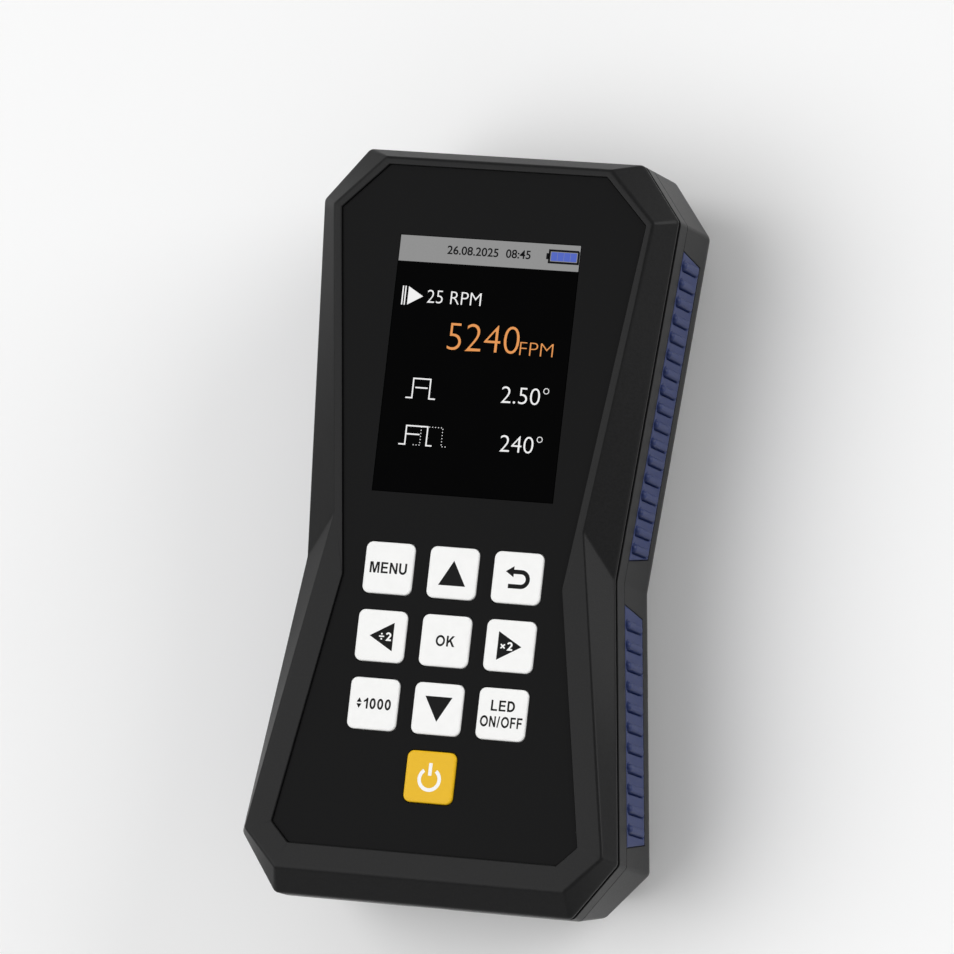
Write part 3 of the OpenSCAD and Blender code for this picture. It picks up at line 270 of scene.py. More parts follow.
def soften(rings, reach):
    """Rounds the edges along the inner rings: each gives way to rings on the parabola that leaves for the
    ring before and for the ring after at the given reach, or at 0.45 of the gap where that is less."""
    rings = np.asarray(rings, float)
    mid = rings[1:-1]
    reach = np.broadcast_to(reach, len(mid))[:, None, None]

    def towards(other):
        gap = other - mid
        size = np.maximum(np.linalg.norm(gap, axis=-1, keepdims=True), 1e-9)
        return mid + gap * np.minimum(reach / size, 0.45)

    s = np.linspace(0, 1, EDGE_STEPS + 1)[None, :, None, None]
    first, last = towards(rings[:-2])[:, None], towards(rings[2:])[:, None]
    bent = (1 - s) ** 2 * first + 2 * s * (1 - s) * mid[:, None] + s**2 * last
    return np.concatenate([rings[:1], bent.reshape(-1, *rings.shape[1:]), rings[-1:]])


def numbered(grid):
    """Numbers of the points in a grid."""
    return np.arange(grid.shape[0] * grid.shape[1]).reshape(grid.shape[:2])


def quads(index):
    """Faces between the neighbouring rows and columns of a numbered grid."""
    around = index[:-1, :-1], index[:-1, 1:], index[1:, 1:], index[1:, :-1]
    return np.stack(around, axis=-1).reshape(-1, 4).tolist()


def skin(rings, closed=False):
    """Quads between neighbouring rings, with a face over each end, or joined end to end if closed."""
    index = numbered(rings)
    faces = quads(np.pad(index, ((0, int(closed)), (0, 1)), mode="wrap"))
    if not closed:
        faces += [index[0].tolist(), index[-1].tolist()]
    return rings.reshape(-1, 3), faces


def turned(profile):
    """Solid of revolution about Z: each (radius, z) of the profile is one ring."""
    return skin(np.stack([level(circle(r), z) for r, z in profile]))


def slab(outline, low, high):
    """Straight plate of an outline between two levels."""
    return skin(np.stack([level(outline, low), level(outline, high)]))


def half_stroke(mean, edge, width):
    """Steps from a path to the side of its stroke: half the width over the cosine of half the bend, along
    the normal of the mean direction at each point."""
    n = np.stack([-mean[:, 1], mean[:, 0]], axis=1)
    return n * (width / 2 / (mean * edge).sum(axis=1, keepdims=True))


def strip(path, width):
    """Outline of a stroke along an open path."""
    path = np.asarray(path, float)
    along = unit(np.diff(path, axis=0))
    mean = unit(np.vstack([along[:1], along[:-1] + along[1:], along[-1:]]))
    out = half_stroke(mean, np.vstack([along, along[-1:]]), width)
    return np.vstack([path + out, (path - out)[::-1]])


def loop(path, width):
    """Solid stroke along a closed path, one unit thick."""
    path = np.asarray(path, float)
    after = unit(np.roll(path, -1, axis=0) - path)
    out = half_stroke(unit(after + np.roll(after, 1, axis=0)), after, width)
    rings = [level(path + out, 0), level(path + out, 1), level(path - out, 1), level(path - out, 0)]
    return skin(np.stack(rings), closed=True)


def arc(centre, r, start, stop, steps=24):
    """Points on an arc, its angles in degrees from +X towards +Y."""
    t = np.radians(np.linspace(start, stop, steps))
    return np.asarray(centre) + r * np.stack([np.cos(t), np.sin(t)], axis=1)


def joined(*skins):
    """Several skins as one."""
    starts = np.cumsum([0] + [len(points) for points, _ in skins])
    faces = [[v + start for v in f] for (_, fs), start in zip(skins, starts) for f in fs]
    return np.vstack([points for points, _ in skins]), faces


def placed(shape, matrix=None, shift=(0, 0, 0)):
    """A skin turned by a 3 x 3 matrix whose rows are its axes, and then moved."""
    points, faces = shape
    turned_points = points if matrix is None else points @ np.asarray(matrix)
    return turned_points + np.asarray(shift), faces


# Axes that lay a shape drawn in XY and raised along Z into the lamp end wall, facing +Y
LAMP_AXES = ((-1, 0, 0), (0, 0, 1), (0, 1, 0))


def lettering(text, weight):
    """Solid letters of the built-in font about the origin, one unit thick, one unit wide and high. The
    weight swells or thins the strokes, as a share of the letter size."""
    curve = bpy.data.curves.new("letters", "FONT")
    curve.body = text
    curve.offset = weight
    curve.extrude = 0.5
    curve.resolution_u = 5
    holder = bpy.data.objects.new("letters", curve)
    mesh = bpy.data.meshes.new_from_object(holder)
    points = np.empty(len(mesh.vertices) * 3)
    mesh.vertices.foreach_get("co", points)
    points = points.reshape(-1, 3)
    corners = np.empty(len(mesh.loops), int)
    mesh.loops.foreach_get("vertex_index", corners)
    starts = np.empty(len(mesh.polygons), int)
    mesh.polygons.foreach_get("loop_start", starts)
    faces = [f.tolist() for f in np.split(corners, starts[1:])]
    low, high = points.min(axis=0), points.max(axis=0)
    points = (points - (low + high) / 2) / (high - low)
    bpy.data.objects.remove(holder)
    bpy.data.curves.remove(curve)
    bpy.data.meshes.remove(mesh)
    return points, faces


# Width of the strokes and of the gaps in bold words, whose letters are one unit high and one unit thick
STEM = 0.2
LETTER_GAP = 0.17


def fill(*outline):
    """Part of a letter that fills an outline."""
    return slab(np.array(outline), 0, 1)


def stroke(*paths):
    """Part of a letter drawn along an open path."""
    return slab(strip(np.vstack(paths), STEM), 0, 1)


def oval(x, across, up):
    """Part of a letter drawn round an oval."""
    return loop(arc((0, 0), 1, 0, 352.5, 48) * (across, up) + (x, 0.5), STEM)


def cross(x, y, arm):
    """Part of a letter that fills a slanted cross, its bars four times as long as they are wide."""
    ends = [[1, 1], [1, 4], [-1, 4], [-1, 1], [-4, 1], [-4, -1]]
    tilt = np.array([[1, 1], [-1, 1]])
    return fill(*(np.vstack([ends, np.negative(ends)]) * arm @ tilt * math.sqrt(0.5) + (x, y)))


# Each letter's width and parts
LETTERS = {
    "M": (0.98, fill(
        (0, 0), (0, 1), (0.3, 1), (0.49, 0.31), (0.68, 1), (0.98, 1), (0.98, 0), (0.79, 0), (0.79, 0.78),
        (0.585, 0), (0.395, 0), (0.19, 0.78), (0.19, 0),
    )),
    "E": (0.72, fill(
        (0, 0), (0, 1), (0.7, 1), (0.7, 0.83), (0.2, 0.83), (0.2, 0.6), (0.66, 0.6), (0.66, 0.43),
        (0.2, 0.43), (0.2, 0.17), (0.72, 0.17), (0.72, 0),
    )),
    "N": (0.8, fill(
        (0, 0), (0, 1), (0.2, 1), (0.61, 0.33), (0.61, 1), (0.8, 1), (0.8, 0), (0.6, 0), (0.19, 0.66),
        (0.19, 0),
    )),
    "U": (0.8, stroke([(0.1, 1)], arc((0.4, 0.38), 0.3, 180, 360), [(0.7, 1)])),
    "O": (1.0, oval(0.5, 0.4, 0.42)),
    "K": (0.9, fill(
        (0, 0), (0, 1), (0.2, 1), (0.2, 0.56), (0.6, 1), (0.87, 1), (0.5, 0.61), (0.9, 0), (0.64, 0),
        (0.36, 0.46), (0.2, 0.29), (0.2, 0),
    )),
    "L": (0.68, fill((0, 0), (0, 1), (0.2, 1), (0.2, 0.17), (0.68, 0.17), (0.68, 0))),
    "D": (0.8, loop(np.vstack([
        [(0.1, 0.1), (0.1, 0.9)], arc((0, 0), 1, 90, -90) * (0.36, 0.4) + (0.34, 0.5),
    ]), STEM)),
    "F": (0.66, fill(
        (0, 0), (0, 1), (0.66, 1), (0.66, 0.83), (0.2, 0.83), (0.2, 0.58), (0.6, 0.58), (0.6, 0.41),
        (0.2, 0.41), (0.2, 0),
    )),
    "/": (0.36, fill((0, -0.02), (0.2, 1.02), (0.36, 1.02), (0.16, -0.02))),
    "0": (0.68, oval(0.34, 0.24, 0.41)),
    "1": (0.5, fill(
        (0.28, 0), (0.28, 0.7), (0, 0.57), (0, 0.75), (0.2, 0.85), (0.33, 1), (0.48, 1), (0.48, 0),
    )),
    "2": (0.68, stroke(arc((0.33, 0.67), 0.23, 165, -38), [(0.2, 0.1), (0.68, 0.1)])),
    "÷": (
        0.62, fill((0, 0.41), (0, 0.57), (0.62, 0.57), (0.62, 0.41)),
        fill((0.22, 0.7), (0.22, 0.88), (0.4, 0.88), (0.4, 0.7)),
        fill((0.22, 0.1), (0.22, 0.28), (0.4, 0.28), (0.4, 0.1)),
    ),
    "×": (0.62, cross(0.31, 0.45, 0.085)),
}


def bold(text):
    """Bold word about the origin, one unit thick and one unit wide and high over its letters."""
    shapes, x = [], 0
    for letter in text:
        width, *parts = LETTERS[letter]
        shapes += [placed(part, shift=(x, 0, 0)) for part in parts]
        x += width + LETTER_GAP
    points, faces = joined(*shapes)
    return (points - (x / 2 - LETTER_GAP / 2, 0.5, 0.5)) / (x - LETTER_GAP, 1, 1), faces


def tidy(mesh, near=SAME_POINT):
    """Merges points that lie this near each other and turns the faces outwards."""
    bm = bmesh.new()
    bm.from_mesh(mesh)
    bmesh.ops.remove_doubles(bm, verts=bm.verts, dist=near)
    bmesh.ops.dissolve_degenerate(bm, edges=bm.edges, dist=near)
    bmesh.ops.recalc_face_normals(bm, faces=bm.faces)
    bm.to_mesh(mesh)
    bm.free()


def mesh_of(name, shape):
    """Mesh of a skin, with doubled points merged and faces turned outwards."""
    points, faces = shape
    mesh = bpy.data.meshes.new(name)
    mesh.from_pydata(np.asarray(points).tolist(), [], faces)
    tidy(mesh)
    return mesh


def linked(name, data):
    """Object of some data, in the scene."""
    obj = bpy.data.objects.new(name, data)
    bpy.context.scene.collection.objects.link(obj)
    return obj


def carve(obj, shape, operation):
    """Joins a solid to the piece, or cuts it out of the piece."""
    tool = linked("tool", mesh_of("tool", shape))
    cut = obj.modifiers.new("carve", "BOOLEAN")
    cut.operation = operation
    cut.solver = "EXACT"
    cut.object = tool
    bpy.context.view_layer.update()
    mesh = bpy.data.meshes.new_from_object(obj.evaluated_get(bpy.context.evaluated_depsgraph_get()))
    if len(mesh.polygons) == 0:
        raise RuntimeError(f"{obj.name}: nothing is left after the cut")
    obj.modifiers.clear()
    old = obj.data
    obj.data = mesh
    bpy.data.meshes.remove(old)
    bpy.data.objects.remove(tool)


def piece(name, shape, slot, look=None, body=BODY, stands_for=(), adds=None, cuts=None, flat_faces=False):
    """A finished piece of the object: its skin, what is joined to it and cut from it, its slot, its look if
    that isn't the slot's own, the body that it rides on and the nodes that it stands for."""
    obj = linked(name, mesh_of(name, shape))
    if adds:
        carve(obj, adds, "UNION")
    if cuts:
        carve(obj, cuts, "DIFFERENCE")
    mesh = obj.data
    mesh.name = name
    tidy(mesh, CUT_POINT if cuts else SAME_POINT)
    mesh.materials.clear()
    mesh.materials.append(finish(look or slot))
    mesh.polygons.foreach_set("use_smooth", np.ones(len(mesh.polygons), bool))
    mesh.set_sharp_from_angle(angle=CREASE)
    if flat_faces:
        weighted = obj.modifiers.new("flat faces", "WEIGHTED_NORMAL")
        weighted.keep_sharp = True
    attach(obj, body)
    if stands_for:
        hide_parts(*stands_for)
    return obj


METAL = {"Metallic": 1.0}
CLEAR = {"Transmission Weight": 1.0, "IOR": 1.49}


def gloss(amount):
    """Shader sockets of a surface with this much gloss."""
    return {"Specular IOR Level": amount}


# Finishes by slot or look: tone or the colour setting that holds it, shade, grain, roughness, depth and
# grain of the bumps, other sockets; grains and depths in millimetres
FINISHES = {
    "black_shell": ("shell", 0.7, 0.5, (0.32, 0.42), 0.018, 0.24, gloss(0.15)),
    "overlay_film": ("overlay", 0.9, 0.7, (0.5, 0.58), 0.004, 0.3, gloss(0.07)),
    "blue_grip": ("grip", 0.82, 0.8, (0.38, 0.48), 0.015, 0.2, gloss(0.36)),
    "white_key": ("key", 0.97, 2, (0.36, 0.44), 0.003, 0.4, gloss(0.2)),
    "amber_key": ("power", 0.97, 2, (0.36, 0.44), 0.003, 0.4, gloss(0.2)),
    "key_ink": ("ink", 0.8, 0.5, (0.45, 0.55), 0, 0, gloss(0.08)),
    "key_white_ink": ("key", 0.97, 0.5, (0.4, 0.5), 0, 0, gloss(0.3)),
    "display_ink": ((0.004, 0.004, 0.005), 0.8, 0.5, (0.3, 0.4), 0, 0, gloss(0.03)),
    "display_window": ((0.0005, 0.0005, 0.0006), 0.7, 6, (0.12, 0.18), 0, 0, gloss(0.008)),
    "display_glass": ((0.004, 0.004, 0.008), 0.8, 5, (0.08, 0.14), 0, 0, {}),
    "white_diffuser": ((0.8, 0.8, 0.77), 0.94, 4, (0.5, 0.6), 0.01, 4, {}),
    "inner_plastic": ((0.03, 0.03, 0.032), 0.8, 1, (0.5, 0.6), 0.02, 1, {}),
    "ribbon_film": ((0.45, 0.2, 0.03), 0.8, 1.5, (0.3, 0.4), 0, 0, {}),
    "circuit_board": ((0.008, 0.075, 0.028), 0.7, 2.5, (0.28, 0.4), 0.01, 2.5, {}),
    "chip_epoxy": ((0.012, 0.012, 0.013), 0.75, 0.6, (0.5, 0.6), 0.01, 0.6, {}),
    "switch_case": ((0.02, 0.02, 0.021), 0.8, 0.8, (0.4, 0.5), 0.01, 0.8, {}),
    "bright_steel": ((0.56, 0.56, 0.55), 0.88, 0.5, (0.22, 0.34), 0.002, 0.5, METAL),
    "capacitor_can": ((0.6, 0.6, 0.61), 0.9, 0.6, (0.25, 0.35), 0.002, 0.6, METAL),
    "ferrite": ((0.05, 0.047, 0.045), 0.7, 0.5, (0.6, 0.7), 0.03, 0.5, {}),
    "ivory_connector": ((0.72, 0.66, 0.5), 0.93, 1.5, (0.4, 0.5), 0.005, 1.5, {}),
    "lead_sheath": ((0.35, 0.012, 0.01), 0.85, 1, (0.4, 0.5), 0.005, 1, {}),
    "plunger_plastic": ((0.55, 0.48, 0.36), 0.93, 1, (0.4, 0.5), 0.005, 1, {}),
    "gasket_rubber": ((0.02, 0.02, 0.02), 0.8, 0.7, (0.7, 0.8), 0.02, 0.7, {}),
    "lens_clear": ((0.95, 0.96, 0.98), 0.99, 4, (0.02, 0.05), 0, 0, CLEAR),
    "lamp_chip": ((0.85, 0.68, 0.12), 0.85, 0.5, (0.3, 0.4), 0.005, 0.5, {}),
    "lamp_board": ((0.75, 0.75, 0.72), 0.93, 2, (0.35, 0.45), 0.005, 2, {}),
    "heat_sink": ((0.5, 0.51, 0.53), 0.85, 0.6, (0.35, 0.48), 0.01, 0.6, METAL),
    "cell_wrap": ((0.03, 0.16, 0.42), 0.9, 2, (0.25, 0.35), 0.003, 2, {}),
    "foam": ((0.035, 0.035, 0.037), 0.6, 0.6, (0.85, 0.95), 0.1, 0.6, {}),
    "brass": ((0.58, 0.40, 0.13), 0.85, 0.6, (0.24, 0.36), 0.003, 0.6, METAL),
    "stage_floor": ((0.90, 0.90, 0.90), 0.99, 300, (0.8, 0.9), 0, 0, gloss(0.0)),
}

# The row that the display's lit signs share
LIT_FACE = ((0.004, 0.004, 0.004), 0.8, 0.4, (0.25, 0.35), 0, 0, gloss(0.12))

# Colour settings of the display's lit signs, by look
LIT = {f"display_{name}": name for name in ("bar", "readout", "text", "charge")}


def finish(name):
    """Finish by its name, made once. Noise at the grain size runs the colour from a shade of itself to the
    full tone and the roughness between two values; a finer noise raises the bumps. A lit sign also glows,
    between nine tenths of its colour and all of it."""
    made = bpy.data.materials.get(f"{name}_finish")
    if made:
        return made
    colours = bpy.context.scene.strobe_colours
    tone, shade, grain, rough, depth, bump_grain, sockets = LIT_FACE if name in LIT else FINISHES[name]
    tone = np.array(getattr(colours, tone) if isinstance(tone, str) else tone)
    made = bpy.data.materials.new(f"{name}_finish")
    made.use_nodes = True
    nodes, links = made.node_tree.nodes, made.node_tree.links
    shader = nodes["Principled BSDF"]
    place = nodes.new("ShaderNodeTexCoord")

    def noise(size, detail):
        node = nodes.new("ShaderNodeTexNoise")
        node.inputs["Scale"].default_value = 1 / (size * MM)
        node.inputs["Detail"].default_value = detail
        links.new(place.outputs["Object"], node.inputs["Vector"])
        return node.outputs["Fac"]

    mottle = noise(grain, 3)

    def blend(full, share, ends, socket):
        ramp = nodes.new("ShaderNodeValToRGB")
        for element, position, mix in zip(ramp.color_ramp.elements, ends, (full * share, full)):
            element.position = position
            element.color = (*mix, 1)
        links.new(mottle, ramp.inputs["Fac"])
        links.new(ramp.outputs["Color"], shader.inputs[socket])

    blend(tone, shade, (0.3, 0.7), "Base Color")
    swing = nodes.new("ShaderNodeMapRange")
    swing.inputs["To Min"].default_value, swing.inputs["To Max"].default_value = rough
    links.new(mottle, swing.inputs["Value"])
    links.new(swing.outputs["Result"], shader.inputs["Roughness"])
    if depth:
        bump = nodes.new("ShaderNodeBump")
        bump.inputs["Strength"].default_value = 1.0
        bump.inputs["Distance"].default_value = depth * MM
        links.new(noise(bump_grain, 2), bump.inputs["Height"])
        links.new(bump.outputs["Normal"], shader.inputs["Normal"])
    if name in LIT:
        blend(np.array(getattr(colours, LIT[name])), 0.9, (0, 1), "Emission Color")
        shader.inputs["Emission Strength"].default_value = 1.0
    for socket, value in sockets.items():
        shader.inputs[socket].default_value = value
    return made


def box_mid(node):
    """Middle of a node's box."""
    low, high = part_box(node)
    return (np.array(low) + np.array(high)) / 2


def outlines():
    """The half outlines by name: case, back of the rear shell before its bevel, panel pocket and its rim."""
    case, panel = bpy.context.scene.strobe_case, bpy.context.scene.strobe_panel
    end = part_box("front_shell")[1].y
    outer = np.array([
        [case.top_flat / 2, end],
        [case.upper_width / 2, end - case.upper_corner],
        [case.waist_width / 2, -case.waist_drop],
        [case.lower_width / 2, case.lower_corner - end],
        [case.foot_flat / 2, -end],
    ])
    rear = outer + np.array([[0, 0]] * 4 + [[0, case.foot_lean]])
    top, foot = end - panel.top_inset, panel.foot_inset - end
    upper_x = case.upper_width / 2 - panel.upper_inset
    lower_x = case.lower_width / 2 - panel.lower_inset
    pocket = np.array([
        [upper_x - panel.upper_corner, top],
        [upper_x, top - panel.upper_corner],
        [case.waist_width / 2 - panel.waist_inset, -panel.waist_drop],
        [lower_x, foot + panel.lower_corner],
        [lower_x - panel.lower_corner, foot],
    ])
    rim = grow(pocket, np.repeat([panel.rim_upper, panel.rim_lower], 3))
    return {"case": outer, "rear": rear, "pocket": pocket, "rim": rim}


def shell_skin(rows):
    """Skin of a shell. Each row is a half outline, its level, and the shares of the case's corner radii and
    of its edge rounding that the ring there has."""
    case = bpy.context.scene.strobe_case
    radii = np.array([case.corner_round] * 2 + [case.waist_round] + [case.corner_round] * 2)
    radii = np.concatenate([radii, radii[::-1]])
    rings = [level(rounded(whole(half), radii * corner), z) for half, z, corner, _ in rows]
    reach = np.array([edge for *_, edge in rows[1:-1]]) * case.edge_round
    return skin(soften(rings, reach))


def bezel_cut():
    """Opening for the lamp bezel in the lamp end wall, with a flared mouth."""
    trim = bpy.context.scene.strobe_trim
    mid, end = box_mid("lamp_bezel"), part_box("front_shell")[1].y
    flare = 0.25 * MM
    steps = [(0, -4 * MM), (0, -flare), (flare, 0), (flare, 2 * MM)]
    rings = panes(trim.bezel_w, trim.bezel_h, trim.bezel_corner, steps)
    return placed(skin(rings), LAMP_AXES, (0, end, mid[2]))


def socket_cut():
    """Opening for the charging socket in the foot end wall, with a flared mouth."""
    low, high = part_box("usb_socket")
    wide, tall = high.x - low.x + 2 * SOCKET_GAP, high.z - low.z + 2 * SOCKET_GAP
    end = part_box("front_shell")[0].y
    flare = 0.3 * MM
    steps = [(flare, -3 * MM), (flare, 0), (0, flare), (0, 6 * MM)]
    rings = panes(wide, tall, SOCKET_ROUND * tall, steps)
    return placed(skin(rings), LAMP_AXES, (0, end, (low.z + high.z) / 2))


def screw_places(node, head):
    """Places of four screws, from the corners of their node's box and the diameter of their heads."""
    low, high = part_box(node)
    r = head / 2
    return [(x, y) for x in (low.x + r, high.x - r) for y in (low.y + r, high.y - r)]


def pin(x, y, r, low, high):
    """Upright round pin."""
    return placed(slab(circle(r, PIN_STEPS), low, high), shift=(x, y, 0))


class STROBE_OT_front_shell(bpy.types.Operator):
    """Moulds the front shell: rim, slopes, groove and wall, open for keys, display, lamps and socket"""

    bl_idname = "strobe.front_shell"
    bl_label = "Front shell"

    def execute(self, context):
        case, trim = context.scene.strobe_case, context.scene.strobe_trim
        half = outlines()
        outer, pocket, rim = half["case"], half["pocket"], half["rim"]
        parting, top = (corner.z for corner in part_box("front_shell"))
        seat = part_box("front_overlay")[0].z
        shoulder = top - case.slope_rise
        groove = shoulder - case.groove_land
        groove_foot = groove - case.groove_w
        back = seat - case.panel_t
        tongue_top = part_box("rear_shell")[1].z + TONGUE_GAP
        slot = grow(outer, -case.groove_d)
        recess = grow(outer, TONGUE_GAP - TONGUE_INSET)
        inner = grow(outer, -case.wall)
        rows = [
            (pocket, seat, 0.25, 0), (pocket, top, 0.25, 0.4), (rim, top, 0.5, 1.1), (outer, shoulder, 1, 1),
            (outer, groove, 1, 0.3), (slot, groove, 1, 0.2), (slot, groove_foot, 1, 0.2),
            (outer, groove_foot, 1, 0.35), (outer, parting, 1, 0.4), (recess, parting, 0.6, 0.2),
            (recess, tongue_top, 0.6, 0.2), (inner, tongue_top, 0.4, 0.2), (inner, groove, 0.4, 0.4),
            (grow(rim, -RIM_WALL), back, 0.4, 0),
        ]
        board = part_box("main_board")[1].z
        columns = [
            pin(*at, COLUMN_D / 2, parting, back + FUSE) for at in screw_places("case_screws", SCREW_HEAD_D)
        ]
        bosses = [
            pin(*at, BOSS_D / 2, board, back + FUSE) for at in screw_places("board_screws", BOARD_SCREW_D)
        ]
        steps = [(KEY_GAP, back - MM), (KEY_GAP, top)]
        key_hole = skin(panes(trim.key_size, trim.key_size, trim.key_corner, steps))
        holes = [placed(key_hole, shift=(*box_mid(f"{key}_key")[:2], 0)) for key in KEYS]
        low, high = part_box("display_window")
        mid = (low + high) / 2
        wide, tall = high.x - low.x + 2 * WINDOW_GAP, high.y - low.y + 2 * WINDOW_GAP
        corner = 0.2 * MM
        steps = [(-WINDOW_BORDER, back - MM), (-WINDOW_BORDER, low.z), (0, low.z), (0, top)]
        window = placed(skin(panes(wide, tall, corner, steps, corner)), shift=(mid.x, mid.y, 0))
        piece(
            "case_front", shell_skin(rows), "black_shell", stands_for=["front_shell"],
            adds=joined(*columns, *bosses), cuts=joined(*holes, window, bezel_cut(), socket_cut()),
            flat_faces=True,
        )
        return {"FINISHED"}


def grip_walls():
    """The walls that carry grips on the right side: the wall's ends, the grip's start and stop along it, and
    the pitch of its ribs."""
    trim, case = bpy.context.scene.strobe_trim, outlines()["case"]

    def wall(ends, foot, top, pitch):
        return ends, foot, np.linalg.norm(ends[1] - ends[0]) - top, pitch

    return {
        "upper": wall(case[[2, 1]], trim.upper_grip_foot, trim.upper_grip_top, trim.upper_pitch),
        "lower": wall(case[[3, 2]], trim.lower_grip_foot, trim.lower_grip_top, trim.lower_pitch),
    }


def on_wall(shape, ends, side):
    """A shape set on a side wall: drawn along the wall towards the lamp end, up it, and out of it."""
    run = unit(ends[1] - ends[0]) * (side, 1)
    out = (side * abs(run[1]), -side * run[0] * np.sign(run[1]), 0)
    return placed(shape, [[*run, 0], [0, 0, 1], out], (side * ends[0, 0], ends[0, 1], 0))


def grip_cut(name, side):
    """Pocket of one grip, with a narrow chamfer round its mouth."""
    trim = bpy.context.scene.strobe_trim
    ends, start, stop, _ = grip_walls()[name]
    low, high = (corner.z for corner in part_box("upper_right_grip"))
    slant, wide = trim.grip_slant, GRIP_GAP + 0.1 * MM

    def mouth(g, out):
        return level(np.array([
            [start - g, high + g], [stop + g, high + g],
            [stop - slant + g, low - g], [start + slant - g, low - g],
        ]), out)

    rings = [
        mouth(GRIP_GAP, -trim.grip_t - GRIP_GAP), mouth(GRIP_GAP, GRIP_GAP - wide), mouth(wide, 0),
        mouth(wide, MM),
    ]
    return on_wall(skin(np.stack(rings)), ends, side)


class STROBE_OT_rear_shell(bpy.types.Operator):
    """Moulds the rear shell: bevelled back, walls with grip pockets, screw columns and stand boss"""

    bl_idname = "strobe.rear_shell"
    bl_label = "Rear shell"

    def execute(self, context):
        case = context.scene.strobe_case
        half = outlines()
        outer, rear = half["case"], half["rear"]
        back = grow(rear, -case.back_inset)
        tongue = grow(outer, -TONGUE_INSET)
        parting, tongue_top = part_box("front_shell")[0].z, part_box("rear_shell")[1].z
        bevel = parting - case.upright
        flat, boss_wall, seat_gap, lip = 2 * MM, 2.2 * MM, 0.02 * MM, 0.35 * MM
        rows = [
            (grow(back, -flat), 0, 0.6, 0), (back, 0, 0.8, 1.6), (rear, bevel, 1, 2.2),
            (outer, parting, 1, 0.4), (tongue, parting, 0.6, 0.2), (tongue, tongue_top, 0.6, 0.3),
            (grow(outer, -case.wall), tongue_top, 0.4, 0.2), (grow(rear, -case.wall), bevel, 0.4, 0.5),
            (grow(back, -case.wall), case.back_wall, 0.4, 0),
        ]
        floor = case.back_wall - FUSE
        insert_low, insert_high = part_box("stand_insert")
        stand = box_mid("stand_insert")[:2]
        insert_r = (insert_high.x - insert_low.x) / 2
        boss = pin(*stand, insert_r + boss_wall, floor, floor + insert_high.z)
        places = screw_places("case_screws", SCREW_HEAD_D)
        columns = [pin(*at, COLUMN_D / 2, floor, parting) for at in places]
        head, shank = SCREW_HEAD_D / 2 + SCREW_GAP, SCREW_D / 2 + SCREW_GAP
        well = turned([
            (head + lip, -MM), (head + lip, 0), (head, lip), (head, SCREW_HEAD_DEPTH),
            (shank, SCREW_HEAD_DEPTH), (shank, parting + MM),
        ])
        wells = [placed(well, shift=(*at, 0)) for at in places]
        seat_r = insert_r + seat_gap
        seat = turned([(seat_r + lip, -MM), (seat_r + lip, 0), (seat_r, lip), (seat_r, insert_high.z)])
        pockets = [grip_cut(name, side) for name in ("upper", "lower") for side in (1, -1)]
        piece(
            "case_rear", shell_skin(rows), "black_shell", stands_for=["rear_shell"],
            adds=joined(*columns, boss),
            cuts=joined(*wells, placed(seat, shift=(*stand, 0)), *pockets, bezel_cut(), socket_cut()),
            flat_faces=True,
        )
        return {"FINISHED"}


# Powers of a rib's section, how much its rear end sinks, the place and width of the hollow beside it in half
# widths of the rib, how much deeper that is at the front end, and the drop of the grip's edge as a share of
# its rounding
RIB_FLAT = 2.6
RIB_ROUND = 0.55
RIB_SINK = 0.5
MOAT_AT = 1.22
MOAT_WIDTH = 0.14
MOAT_FRONT = 0.5
EDGE_DROP = 0.7


